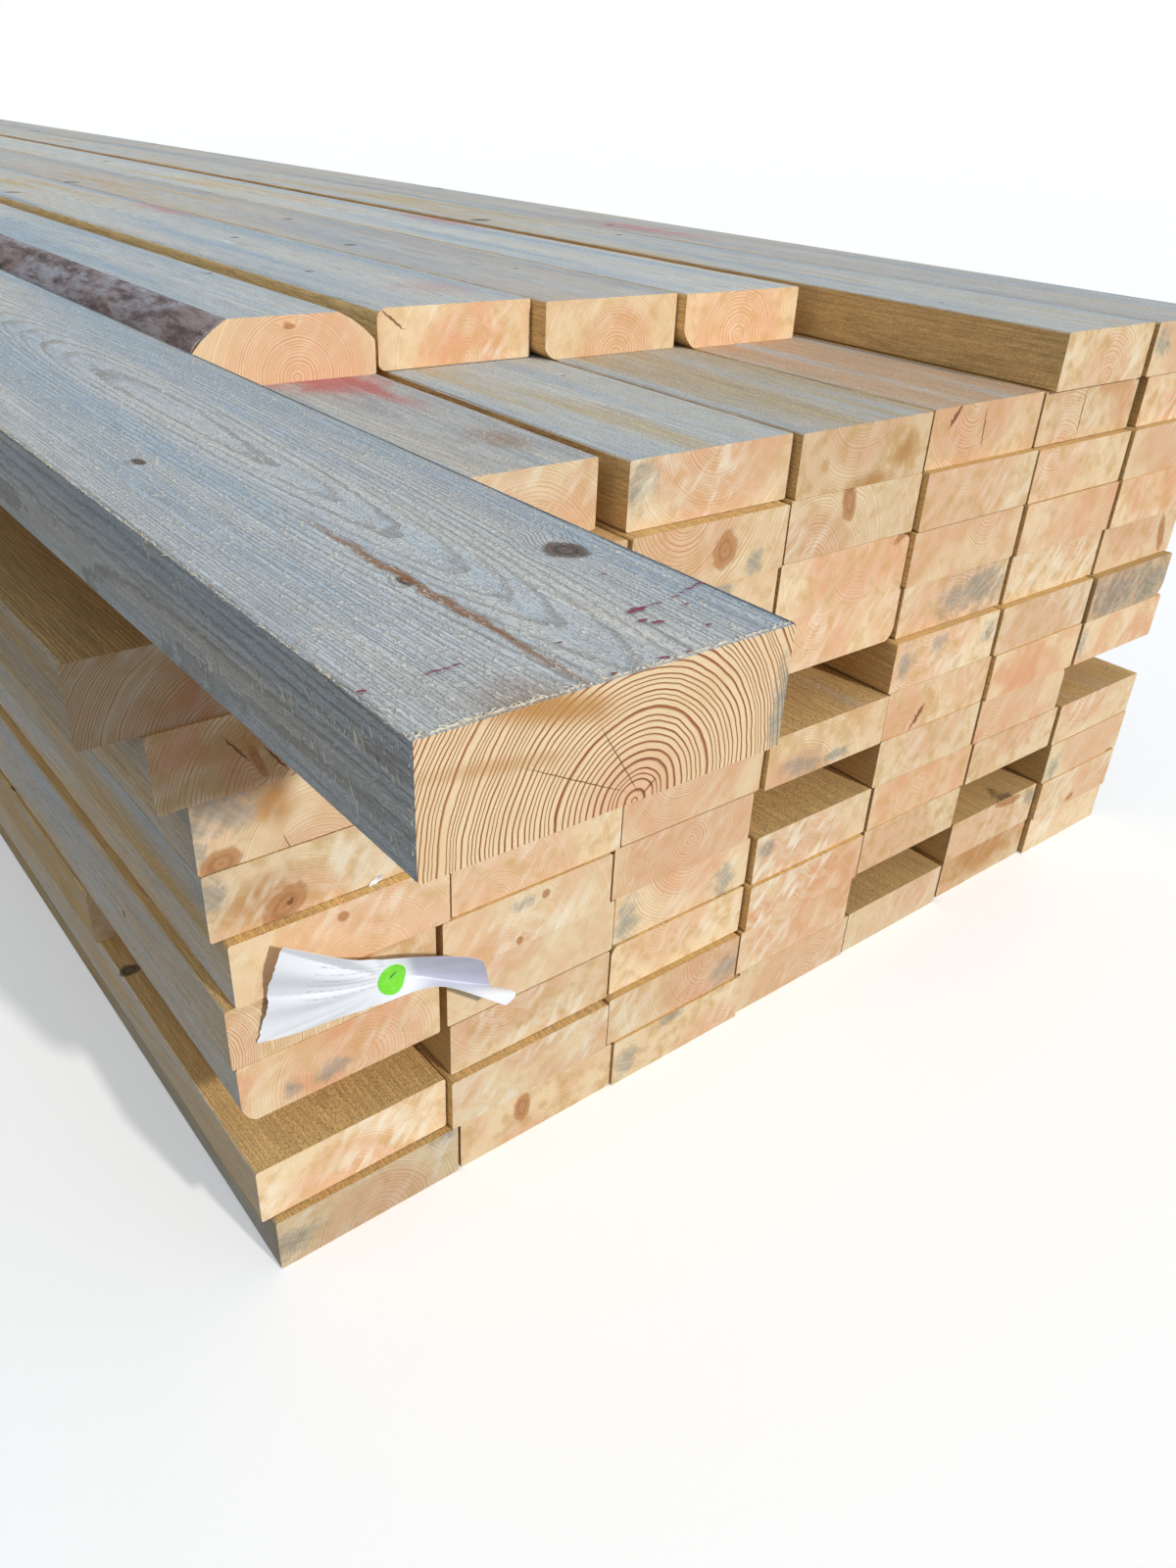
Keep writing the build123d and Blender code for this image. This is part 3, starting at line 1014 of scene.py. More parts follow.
@dataclass
class Pack:
    """The pack: every board of every course, read from the frame's solids.

    The overhanging board is trimmed by a mm or so, at its end and its top, to leave room for its torn fibres.
    How weathered a side is goes from 0 for covered wood to about 1 for wood that lay open.
    """

    columns: int = 7
    courses: int = 12
    overhanging: Place = (1, 12)
    waney: Place = (2, 12)
    trims: tuple[float, float] = (1.5, 0.8)
    slight_wear: float = 0.4
    weld: float = 0.00001
    short_columns: tuple[int, int] = (2, 5)
    open_top: float = 1.1
    open_below: float = 0.95
    free_sides: tuple[float, float] = (1.0, 0.9)
    pack_side: float = 0.5
    between: float = 0.1
    covered: float = 0.12
    # Painted shade: how much darker the long board's outer side is painted.
    outer_side_painted_shade: float = 0.24
    boards: dict[Place, Board] = field(default_factory=dict)

    def nodes(self) -> dict[str, list[Place]]:
        """List the solids' nodes, with the boards that each holds from left to right."""
        found = {"overhanging_board": [self.overhanging], "waney_board": [self.waney]}
        for course in range(1, self.courses + 1):
            places = [(column, course) for column in range(1, self.columns + 1)]
            found[f"course_{course:02d}"] = [p for p in places if p not in (self.overhanging, self.waney)]
        return found

    def blanks(self, node: str) -> list[bpy.types.Object]:
        """Copy a node, weld its loose triangles and part it into boards.

        Args:
            node: the CAD node's name.

        Returns:
            One object for each board, from left to right.
        """
        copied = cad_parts[node].copy()
        copied.data = copied.data.copy()
        for key in list(copied.keys()):
            del copied[key]
        copied.parent = None
        bpy.context.scene.collection.objects.link(copied)
        select_only(copied)
        with editing():
            bpy.ops.mesh.remove_doubles(threshold=self.weld)
            bpy.ops.mesh.separate(type="LOOSE")
        parts = list(bpy.context.selected_objects)
        return sorted(parts, key=lambda part: corners_of(part.data)[:, 0].mean())

    def weather(self, place: Place) -> dict[Side, float]:
        """Say how weathered each side of a board is, from where it lies in the pack."""
        column, course = place
        first, last = self.short_columns
        top = self.covered
        if course == self.courses:
            top = self.open_top
        elif course == self.courses - 1 and first <= column <= last:
            top = self.open_below
        left = self.pack_side if column == 1 else self.between
        right = self.pack_side if column == self.columns else self.between
        if place == self.overhanging:
            left, right = self.free_sides
        return {Side.TOP: top, Side.BOTTOM: self.covered, Side.LEFT: left, Side.RIGHT: right}

    def grime(self, place: Place) -> dict[Side, float]:
        """Say how much painted shade each side of a board gets: the long board's outer side, in shade, is
        painted darker.
        """
        return {Side.LEFT: self.outer_side_painted_shade} if place == self.overhanging else {}

    def corner(self, place: Place) -> Vector:
        """Give the lower left corner of a board's near end."""
        return Vector(corners_of(self.boards[place].piece.data).min(0))

    def top_of(self, place: Place) -> float:
        """Give the height of a board's upper side."""
        return float(corners_of(self.boards[place].piece.data)[:, 2].max())

    def build(self, logs: dict[Place, Log], end: bpy.types.Material, face: bpy.types.Material) -> None:
        """Shape and dress every board.

        Args:
            logs: how each board sat in its log.
            end: the finish of the cut ends.
            face: the finish of the sawn faces.
        """
        for node, places in self.nodes().items():
            for place, blank in zip(places, self.blanks(node), strict=True):
                board = Board(*place, logs[place])
                if place == self.overhanging:
                    end_trim, top_trim = self.trims
                    board = replace(board, trim_end=end_trim, trim_top=top_trim, wear=self.slight_wear)
                board.shape(blank)
                board.write_log(self.weather(place), self.grime(place))
                board.lay_map()
                board.dress(end, face)
                self.boards[place] = board
                declare(board.piece, "sawn_softwood", node)


OVERHANGING_LOG = Log(
    pith_across=83.6, pith_up=0.5, heart_radius=18, ring_width=3.1, sway=12, stain=0.05, warmth=0.2,
    seed=0.37, rings=1.4, blush=0.15, saw=0.05, brown=0.12,
    knots=(
        Spot(127.2, 98.2, 48, 8.5, 9.5, 12),
        Spot(58.7, 102, 48, 2.8, 5, 10),
        Spot(34.8, 289, 48, 3, 6, 10),
    ),
    stains=(Spot(149, 0, 16, 9, 60, 22),),
    checks=(
        Spot(74.5, 0, 17, 0.22, 30, 18, 31),
        Spot(57, 0, 16, 0.22, 30, 24, 62),
        Spot(87.5, 0, 4, 0.4, 30, 4, -50),
    ),
    soaked=(Spot(46, 0, 44, 32, 25, 7, -16), Spot(24, 17, 31, 40, 25, 4.5, -9)),
    resin=(Spot(60.5, 85, 48, 3.0, 118, 9),),
)

SEEN_LOGS = {
    (1, 1): dict(rings=0.3, stains=(end_knot(138, 44, 16, 10), end_knot(12, 22, 20, 16)), shade=0.76),
    (1, 2): dict(pith_across=62, pith_up=-14, blush=0.4, rings=0.3, shade=1.08),
    (1, 4): dict(blush=0.9, stains=(end_knot(63, 12, 16, 9), end_knot(36, 12, 9, 8))),
    (1, 5): dict(
        pith_across=-30, pith_up=10, rings=0.75, ring_width=2.4, blush=0.7, warmth=0.9,
        soaked=(end_knot(70, 46, 70, 6, 2),),
    ),
    (1, 6): dict(pith_across=90, pith_up=-10, knots=(end_knot(75, 38, 4, 4),), stain=0.1),
    (1, 7): dict(
        knots=(end_knot(48, 8, 17, 11, 38), end_knot(38, -3, 10, 6, 20)),
        checks=(end_knot(51.5, 9.5, 2.6, 3.2, -30),), soaked=(end_knot(34, 22, 30, 16, 20),),
        stains=(end_knot(5, 33, 12, 16),), rings=0.22, warmth=0.8,
    ),
    (1, 8): dict(
        knots=(end_knot(14, 4, 13.5, 10, 8),), checks=(end_knot(55.5, 1, 0.4, 10, 20),),
        stains=(end_knot(14, 36, 34, 20), end_knot(2, 16, 8, 12)),
        soaked=(end_knot(48, 34, 16, 22, 20),), shade=0.94, rings=0.3, pith_across=70, pith_up=-20,
    ),
    # Painted shade: the low shade of (1,9) and (1,10) darkens their ends beyond the shadow that the long
    # board casts on them.
    (1, 9): dict(
        knots=(end_knot(59, 16, 3, 12, 20),),
        checks=(end_knot(70, 14, 0.8, 12, 35), end_knot(48, 26, 0.8, 12, 35)), rings=0.75,
        pith_across=90, pith_up=-8, blush=1.0, soaked=(end_knot(100, 30, 80, 26),), shade=0.85,
    ),
    (1, 10): dict(
        blush=1.0, rings=0.85, ring_width=2.8, pith_across=78, pith_up=-16, shade=0.68,
        checks=(end_knot(96, 24, 2.0, 9, 10),),
    ),
    (2, 1): dict(knots=(end_knot(58, 30, 8, 15),), blush=0.6),
    (2, 2): dict(blush=0.7, saw=0.9),
    (2, 3): dict(saw=0.9, rings=0.35, blush=0.6),
    (2, 5): dict(
        stains=(end_knot(66, 35, 12, 8),), knots=(end_knot(88, 37, 4, 4), end_knot(65, 5, 3, 4)),
    ),
    (2, 6): dict(saw=0.7, rings=0.3),
    (2, 7): dict(saw=0.8, pith_across=110, pith_up=70, rings=0.4),
    (2, 12): dict(
        pith_across=79, pith_up=3, rings=0.5, knots=(end_knot(78, 40, 5, 2.2),), stain=0.0, blush=0.3,
    ),
    (3, 1): dict(stains=(end_knot(61, 46, 20, 9), end_knot(14, 20, 18, 18))),
    (3, 2): dict(stains=(end_knot(136, 18, 20, 20),), blush=0.5),
    (3, 4): dict(stains=(end_knot(122, 12, 16, 20), end_knot(14, 17, 16, 24)), rings=0.4),
    (3, 5): dict(pith_across=78, pith_up=27, rings=0.5, stain=0.2),
    (3, 7): dict(stains=(end_knot(20, 22, 22, 18),)),
    (3, 9): dict(stains=(end_knot(60, 24, 34, 15), end_knot(92, 40, 12, 8)), blush=0.3),
    (3, 10): dict(
        pith_across=50, pith_up=59, rings=0.55, knots=(end_knot(87, 24, 12, 14),),
        stains=(end_knot(117, 9, 10, 10),), blush=0.3,
    ),
    (3, 11): dict(pith_across=79, pith_up=62, rings=0.45, stains=(end_knot(10, 30, 18, 18),), blush=0.4),
    (3, 12): dict(
        pith_across=82, pith_up=6, rings=0.5, blush=0.9, checks=(end_knot(14, 38, 1.2, 14, 52),),
        stain=0.1, heart_radius=40,
    ),
    (4, 2): dict(blush=0.9, saw=1.0),
    (4, 3): dict(blush=1.0, saw=1.0),
    (4, 4): dict(blush=0.9, saw=1.0, stains=(end_knot(12, 32, 14, 12),)),
    (4, 6): dict(stains=(end_knot(45, 12, 30, 13), end_knot(88, 8, 22, 8))),
    (4, 7): dict(saw=0.8, blush=0.7),
    (4, 8): dict(blush=0.6, saw=0.6, shade=1.07),
    (4, 9): dict(knots=(end_knot(142, 46, 10, 4, 30),), blush=0.75, saw=0.6, shade=1.04),
    (4, 10): dict(
        knots=(end_knot(66, 38, 8, 18, 14),), pith_across=30, pith_up=-10, rings=0.5, blush=0.15,
    ),
    (4, 11): dict(
        soaked=(end_knot(122, 22, 12, 20, -35), end_knot(87, 3, 30, 10)), warmth=1.0, shade=0.86,
        blush=0.3, saw=0.2,
    ),
    (4, 12): dict(pith_across=76, pith_up=-1, rings=0.5, stain=0.15, blush=0.4),
    (5, 6): dict(
        pith_across=21, pith_up=6, rings=0.6, ring_width=2.4, checks=(end_knot(48, 12, 3.0, 15, -35),),
        warmth=0.9,
    ),
    (5, 7): dict(
        stains=(end_knot(17, 26, 12, 20), end_knot(61, 34, 12, 10), end_knot(140, 30, 12, 14)),
        warmth=1.0,
    ),
    (5, 8): dict(stains=(end_knot(116, 26, 52, 34), end_knot(78, 22, 30, 18)), rings=0.4, blush=0.2),
    (5, 11): dict(
        pith_across=57, pith_up=52, rings=0.5,
        checks=(end_knot(29, 40, 2.2, 12, -38), end_knot(72, 26, 0.8, 18, 4)), blush=0.6,
    ),
    (5, 12): dict(pith_across=70, pith_up=8, rings=0.5, blush=0.4),
    (6, 2): dict(knots=(end_knot(102, 42, 24, 6, -5),), stains=(end_knot(144, 34, 10, 14),)),
    (6, 5): dict(blush=0.9),
    (6, 6): dict(blush=1.0),
    (6, 11): dict(blush=1.0, checks=(end_knot(66, 24, 0.9, 22),), rings=0.45),
    (6, 12): dict(pith_across=80, pith_up=5, rings=0.4, blush=0.2, shade=0.97),
    (7, 2): dict(knots=(end_knot(71, 8, 8, 4, 20),), blush=0.5),
    (7, 3): dict(stains=(end_knot(13, 14, 18, 16),), knots=(end_knot(140, -4, 10, 8),)),
    (7, 6): dict(stains=(end_knot(2, 26, 16, 18),), blush=0.7),
    (5, 9): dict(blush=0.8, shade=0.96),
    (6, 1): dict(shade=0.92, blush=0.9, soaked=(end_knot(70, 34, 95, 34),)),
    (7, 7): dict(stains=(end_knot(44, 24, 60, 34), end_knot(110, 22, 60, 34)), shade=0.76),
    (7, 8): dict(knots=(end_knot(123, 22, 7, 22, 20),), blush=0.4),
    (7, 9): dict(blush=1.0),
    (7, 12): dict(stains=(end_knot(14, 28, 14, 16),)),
}

TOP_MARKS = {
    (2, 11): dict(
        paint=(Spot(100, 268, 48, 50, 60, 20), Spot(118, 250, 48, 16, 95, 20)),
        soaked=(Spot(120, 66, 48, 20, 40, 14),), brown=0.25, shade=0.92,
    ),
    (2, 12): dict(warmth=0.2, brown=0.0),
    (3, 11): dict(brown=0.0, warmth=0.5, shade=0.96),
    (4, 11): dict(brown=0.2),
    (5, 11): dict(brown=1.0),
    (3, 12): dict(
        paint=(Spot(104, 80, 64, 60, 70, 20), Spot(140, 790, 60, 30, 150, 20)), brown=0.05, warmth=0.6,
    ),
    (5, 12): dict(paint=(Spot(140, 640, 60, 34, 140, 20),), shade=1.06),
    (7, 12): dict(paint=(Spot(53, 785, 60, 50, 180, 20),), brown=0.3),
}


def draw_logs(pack: Pack) -> dict[Place, Log]:
    """Draw a log for each board, and put in what the boards in view show.

    Args:
        pack: the pack whose boards need logs.

    Returns:
        A log for each board.
    """
    draw = random.Random(LOG_SEED)
    found = {}
    for course in range(1, pack.courses + 1):
        for column in range(1, pack.columns + 1):
            found[column, course] = Log(
                pith_across=75 + draw.uniform(-45, 45),
                pith_up=draw.choice((draw.uniform(-30, 10), draw.uniform(38, 70))),
                heart_radius=draw.uniform(30, 75),
                ring_width=draw.uniform(2.6, 4.4),
                sway=draw.uniform(3, 9),
                stain=draw.uniform(0.0, 0.3),
                warmth=draw.uniform(0.2, 1.0),
                seed=draw.random(),
                rings=draw.uniform(0.15, 0.42),
                blush=draw.uniform(0.1, 0.8),
                shade=draw.uniform(0.9, 1.03),
                saw=draw.uniform(0.2, 0.9),
                brown=draw.uniform(0.0, 0.35),
            )
    for marks in (SEEN_LOGS, TOP_MARKS):
        for place, seen in marks.items():
            found[place] = replace(found[place], **seen)
    found[pack.overhanging] = OVERHANGING_LOG
    return found


@dataclass
class BarkStrip:
    """The bark left on the waney board's upper left corner, as a thin scaly shell along the whole board.

    Lengths are in mm.
    """

    across: float = 30.0
    down: float = 24.0
    bulge: float = 2.0
    thickness: float = 2.6
    step_along: float = 9.0
    steps_round: int = 9
    scale_length: float = 34.0
    scale_width: float = 11.0
    shell: float = 1.2
    short_of_end: float = 1.0
    round_wane: float = 38.0
    smooth_under: float = 25.0

    def build(self, board: Board, finish: bpy.types.Material) -> bpy.types.Object:
        """Lay the bark on a board.

        Args:
            board: the waney board.
            finish: the bark's material.

        Returns:
            The strip.
        """
        places = corners_of(board.piece.data)
        low, high = places.min(0), places.max(0)
        length = (high[1] - low[1]) / MM - 2 * self.short_of_end
        cuts = round(length / self.step_along)
        sizes = {"x_subdivisions": self.steps_round, "y_subdivisions": cuts, "size": 1.0}
        piece = start_from("grid", "bark_on_wane", **sizes)
        points = corners_of(piece.data)
        side = Vector((self.across, self.down)).normalized()
        for i, (u, v, _) in enumerate(points + (0.5, 0.5, 0.0)):
            lift = self.bulge * 4 * u * (1 - u) + self.thickness * self.scale_height(u, v * length)
            x = u * self.across - side.y * lift
            z = (u - 1) * self.down + side.x * lift
            y = self.short_of_end + v * length
            points[i] = (low[0] + x * MM, low[1] + y * MM, high[2] + min(z, 0.0) * MM)
        set_corners(piece.data, points)
        modify(piece, "SOLIDIFY", thickness=self.shell * MM, offset=-1.0)
        bpy.ops.object.shade_smooth_by_angle(angle=math.radians(self.smooth_under))
        piece.data.materials.append(finish)
        return declare(piece, "sawn_softwood")

    def scale_height(self, share: float, along: float) -> float:
        """Say how thick the bark is at a point, as a share of its full thickness.

        Args:
            share: how far round the wane, from 0 at the side to 1 at the top.
            along: how far along the board, in mm.

        Returns:
            A share from 0 to about 1.
        """
        rim = min(1.0, 8 * share, 8 * (1 - share) + 0.15)
        up = share * self.round_wane / self.scale_width
        at = Vector((up, along / self.scale_length, 0.4 * share + along / 900))
        plate = noise.voronoi(at)[0][0]
        return rim * (0.95 - 0.55 * min(plate, 1.0) + 0.25 * noise.noise(at * 3.1))


@dataclass
class DeliveryLabel:
    """A torn slip of paper on the board ends: folds run out from its sticker, and its right part curls.

    Its rows of points run from left to right, in mm: across and up from the lower left corner of a board of
    the first column, and out from the wood.
    """

    thickness: float = 0.3
    crease: float = 1.0
    fold_depth: float = 2.0
    folds: float = 7.0
    fold_reach: float = 40.0
    right_share: float = 0.25
    tear: float = 2.4
    tear_length: float = 2.3
    tear_width: float = 9.0
    left_edge: float = 13.0
    left_foot: float = -31.0
    left_lean: float = 0.12
    dot_place: tuple[float, float] = (101.0, -11.0)
    dot_radius: float = 10.8
    dot_thickness: float = 0.25
    glue: float = 0.1
    pen_place: tuple[float, float] = (101.5, -8.0)
    pen_thickness: float = 0.1
    smooth_under: float = 35.0
    least_out: float = 0.4
    crease_row: int = 2
    first_folded: int = 4
    rows: tuple[tuple[Point, ...], ...] = (
        (
            (13.8, -33.2, 1), (32.8, -33.4, 5), (53.1, -30.5, 11), (79.6, -26, 19), (97.6, -25, 23.5),
            (115.5, -24.5, 24), (136.6, -29.5, 24), (158.3, -48, 26), (185.2, -70.5, 28),
        ),
        (
            (22.8, -5.8, 4), (35.6, -14.2, 9), (57.3, -16.4, 14), (80.9, -15.8, 20), (101.8, -17.9, 21.5),
            (122.1, -23, 18), (142.6, -36.7, 16), (161.8, -50.3, 17), (201, -65.4, 27.5),
        ),
        (
            (23.2, 14.5, 8), (39.7, 4.5, 13), (61.3, -2.8, 17), (83.9, -5.7, 19.5), (107.5, -10.6, 19.5),
            (126.8, -26.7, 12.5), (146.4, -41.2, 10), (164.6, -52.9, 10), (182.5, -62.4, 12),
        ),
        (
            (25.9, 29.7, 12), (45, 20.5, 17), (66.1, 9.5, 20), (86.8, 2, 19), (106.7, -3.5, 18.5),
            (120.8, -10.7, 19), (140.6, -21.7, 19), (159.8, -32.1, 19), (175, -42.3, 20),
        ),
        (
            (31.7, 44.4, 17), (49.9, 34.2, 21), (70.7, 21.6, 22.5), (88.9, 10, 19.5), (105.3, 3, 18.5),
            (116.9, 2.9, 25), (135.2, -2.9, 28), (154.3, -11.6, 28.5), (166.1, -21.7, 28),
        ),
    )

    def build(self, corner: Vector, paper: bpy.types.Material) -> bpy.types.Object:
        """Make the slip of paper.

        Args:
            corner: the point that its rows are measured from, on the wood.
            paper: the paper's material.

        Returns:
            The slip.
        """
        high, wide = len(self.rows), len(self.rows[0])
        sizes = {"x_subdivisions": wide - 1, "y_subdivisions": high - 1, "size": 1.0}
        piece = start_from("grid", "delivery_slip", **sizes)
        mesh = piece.data
        mesh.uv_layers[0].name = "sheet"
        mesh.attributes.new("crease_edge", "FLOAT", "EDGE")
        for edge in mesh.edges:
            rows = {i // wide for i in edge.vertices}
            columns = {i % wide for i in edge.vertices}
            sharp = rows == {self.crease_row} and min(columns) >= self.first_folded
            mesh.attributes["crease_edge"].data[edge.index].value = self.crease if sharp else 0.0
        flat = [point for row in self.rows for point in row]
        set_corners(mesh, np.array([(x, -out, up) for x, up, out in flat]) * MM)
        modify(piece, "SUBSURF", levels=4, render_levels=4, boundary_smooth="PRESERVE_CORNERS")
        self.crumple(mesh)
        mesh.transform(Matrix.Translation(corner))
        modify(piece, "SOLIDIFY", thickness=self.thickness * MM, offset=0.0)
        bpy.ops.object.shade_smooth_by_angle(angle=math.radians(self.smooth_under))
        mesh.materials.append(paper)
        return declare(piece, "label_paper", "delivery_label")

    def crumple(self, mesh: bpy.types.Mesh) -> None:
        """Press folds that run out from the sticker into the sheet, and tear its left edge."""
        places = corners_of(mesh) / MM
        for i, (x, _, z) in enumerate(places):
            dx, dz = x - self.dot_place[0], z - self.dot_place[1]
            away = math.hypot(dx, dz)
            grow = min(max((away - self.dot_radius) / self.fold_reach, 0.0), 1.0)
            angle = math.atan2(dz, dx)
            fold = abs(math.sin(self.folds * angle + 1.3)) ** 0.6 + 0.5 * math.sin(17 * angle)
            share = 1.0 if dx < 0 else self.right_share
            places[i, 1] -= self.fold_depth * grow * share * (fold - 0.5)
            places[i, 1] = min(places[i, 1], -self.least_out)
            inward = x - self.left_edge - self.left_lean * (z - self.left_foot)
            torn = max(0.0, 1 - inward / self.tear_width)
            places[i, 0] += self.tear * torn * noise.noise(Vector((z / self.tear_length, 1.7, 0.0)))
        set_corners(mesh, places * MM)

    def stick_dot(self, slip: bpy.types.Object, corner: Vector, dye: bpy.types.Material) -> bpy.types.Object:
        """Put the round sticker on the slip, bent as the paper under it is.

        Args:
            slip: the slip of paper.
            corner: the point that its rows are measured from.
            dye: the sticker's material.

        Returns:
            The sticker.
        """
        radius = self.dot_radius * MM
        piece = start_from("circle", "round_sticker", vertices=40, radius=radius, fill_type="NGON")
        with editing():
            for _ in range(5):
                bpy.ops.mesh.inset(thickness=radius / 6, depth=0.0)
        self.press_on(piece, slip, corner, self.dot_place, self.dot_thickness)
        piece.data.materials.append(dye)
        return declare(piece, "sticker_paper", "label_dot")

    def press_on(
        self,
        piece: bpy.types.Object,
        slip: bpy.types.Object,
        corner: Vector,
        at: tuple[float, float],
        thickness: float,
    ) -> None:
        """Lay a flat thing, drawn in the XY plane, on the slip.

        Args:
            piece: the flat thing.
            slip: the slip of paper.
            corner: the point that places are measured from.
            at: where its origin goes, in mm across and up.
            thickness: how thick it becomes, in mm.
        """
        places = corners_of(piece.data)
        for i, (x, y, _) in enumerate(places):
            start = corner + Vector((at[0] * MM + x, -0.1, at[1] * MM + y))
            found, point, _, _ = slip.ray_cast(start, Vector((0, 1, 0)))
            places[i] = point if found else start + Vector((0, 0.08, 0))
            places[i, 1] -= self.glue * MM
        set_corners(piece.data, places)
        modify(piece, "SOLIDIFY", thickness=thickness * MM, offset=1.0)
        with editing():
            bpy.ops.mesh.normals_make_consistent(inside=False)
        bpy.ops.object.shade_smooth_by_angle(angle=math.radians(self.smooth_under))

    def pen_stroke(self, dot: bpy.types.Object, corner: Vector, ink: bpy.types.Material) -> bpy.types.Object:
        """Draw the short pen stroke on the sticker: a tick that says nothing.

        Args:
            dot: the sticker.
            corner: the point that its rows are measured from.
            ink: the ink's material.

        Returns:
            The stroke.
        """
        piece = start_from("circle", "pen_stroke", vertices=12, radius=1.0 * MM, fill_type="NGON")
        with editing():
            bpy.ops.transform.resize(value=(3.4, 0.55, 1.0))
            bpy.ops.transform.rotate(value=math.radians(-24), orient_axis="Z", center_override=(0, 0, 0))
        self.press_on(piece, dot, corner, self.pen_place, self.pen_thickness)
        piece.data.materials.append(ink)
        return declare(piece, "sticker_paper")


@dataclass
class PaperScrap:
    """What is left of an older slip: a small torn scrap on a board's end."""

    across: float = 109.0
    up: float = 1.5
    width: float = 9.0
    height: float = 4.0
    thickness: float = 0.2
    slant: float = 0.25
    rise: float = 2.0
    off_wood: float = 0.5
    curl: float = 1.1

    def build(self, corner: Vector, paper: bpy.types.Material) -> bpy.types.Object:
        """Make the scrap.

        Args:
            corner: the lower left corner of the board's end.
            paper: the paper's material.

        Returns:
            The scrap.
        """
        piece = start_from("grid", "paper_scrap", x_subdivisions=9, y_subdivisions=5, size=1.0)
        piece.data.uv_layers[0].name = "sheet"
        places = corners_of(piece.data)
        for i, (u, v, _) in enumerate(places):
            ragged = noise.noise(Vector((u * 5, v * 5, 3.0)))
            x = self.across + self.width * (u + self.slant * v) + 0.9 * ragged
            z = self.up + self.height * v + self.rise * u + 0.8 * ragged
            out = self.off_wood + self.curl * abs(noise.noise(Vector((u * 3.0, v * 2.0, 8.0))))
            places[i] = (x, -out, z)
        set_corners(piece.data, places * MM)
        piece.data.transform(Matrix.Translation(corner))
        modify(piece, "SOLIDIFY", thickness=self.thickness * MM)
        piece.data.materials.append(paper)
        return declare(piece, "label_paper")


@dataclass
class Splinters:
    """Slivers and fibres that the saw tore up, where the near board shows them.

    Each fringe is a line from one point to another with slivers along it: how many, how short and long, how
    they lean and how widely they spread. Points and lengths are in mm, across, into the board and up from the
    lower left corner of the board's near end.
    """

    thickness: float = 0.3
    tip: float = 0.05
    bend: float = 0.12
    bend_from: float = 0.55
    usual_lean: float = 0.75
    most_outward: float = -0.25
    seed: int = 5
    fringes: tuple[tuple[Point, Point, int, tuple[float, float], Point, float], ...] = (
        ((1, 1.4, 47.1), (149, 1.4, 47.1), 200, (1.0, 3.2), (1.0, -0.12, -0.1), 0.7),
        ((8, 1.6, 47.0), (40, 1.6, 47.0), 60, (1.5, 4.5), (0.8, -0.1, 0.1), 0.6),
        ((0.4, 1.4, 1), (0.4, 1.4, 47), 80, (0.8, 2.4), (0.2, -0.1, 1.0), 0.7),
        ((0.2, 2, 47.0), (0.2, 420, 47.0), 260, (1.2, 4.0), (-0.05, 1.0, 0.0), 0.3),
        ((-0.05, 4, 6), (-0.05, 200, 44), 40, (3.0, 8.0), (0.0, 0.3, 1.0), 0.16),
        ((-0.05, 4, 42), (-0.05, 150, 10), 40, (2.0, 7.0), (0.0, 0.3, 1.0), 0.2),
        ((-0.05, 6, 30), (-0.05, 60, 34), 26, (2.0, 6.0), (0.0, 0.3, 1.0), 0.25),
        ((1, 1.4, 2), (50, 1.4, 3), 120, (0.6, 1.8), (1.0, -0.1, 0.6), 0.9),
    )

    def model_sliver(self) -> bpy.types.Object:
        """Model one sliver: a thin strip of wood, 1 mm long along Z, that tapers and bends a little."""
        sizes = {"vertices": 4, "radius1": self.thickness, "radius2": self.tip, "depth": 1.0}
        model = start_from("cone", "sliver", **sizes, end_fill_type="NGON")
        with editing():
            bpy.ops.transform.translate(value=(0, 0, 0.5))
            bpy.ops.mesh.bisect(plane_co=(0, 0, self.bend_from), plane_no=(0, 0, 1))
            bpy.ops.transform.translate(value=(self.bend, 0, 0))
        return model

    def build(self, corner: Vector, floor: Vector, finish: bpy.types.Material) -> bpy.types.Object:
        """Scatter the slivers.

        Args:
            corner: the lower left corner of the board's near end.
            floor: the lowest corner that a sliver may reach, so that none leaves the pack's box.
            finish: the slivers' material.

        Returns:
            All the slivers, as one piece.
        """
        draw = random.Random(self.seed)
        model = self.model_sliver()
        turns = []
        for start, end, count, (shortest, longest), lean, spread in self.fringes:
            for _ in range(count):
                at = Vector(start).lerp(Vector(end), draw.random())
                way = Vector(lean) + Vector([draw.uniform(-spread, spread) for _ in range(3)])
                way = (way if draw.random() < self.usual_lean or lean[1] > 0.5 else -way).normalized()
                way.y = max(way.y, self.most_outward) if at.y < 2 else way.y
                length = draw.uniform(shortest, longest)
                size = Matrix.Diagonal((draw.uniform(0.6, 1.5), draw.uniform(0.35, 0.8), length, 1.0))
                turn = way.to_track_quat("Z", "Y").to_matrix().to_4x4()
                spun = turn @ Matrix.Rotation(draw.uniform(0, math.pi), 4, "Z") @ size
                turns.append(Matrix.Translation(corner + at * MM) @ Matrix.Scale(MM, 4) @ spun)
        piece = scatter(model, turns, "torn_fibres")
        places = np.maximum(corners_of(piece.data), np.array(floor))
        set_corners(piece.data, np.minimum(places, np.array((9.0, 9.0, CAD_BOX[1][2]))))
        piece.data.materials.append(finish)
        return declare(piece, "sawn_softwood")


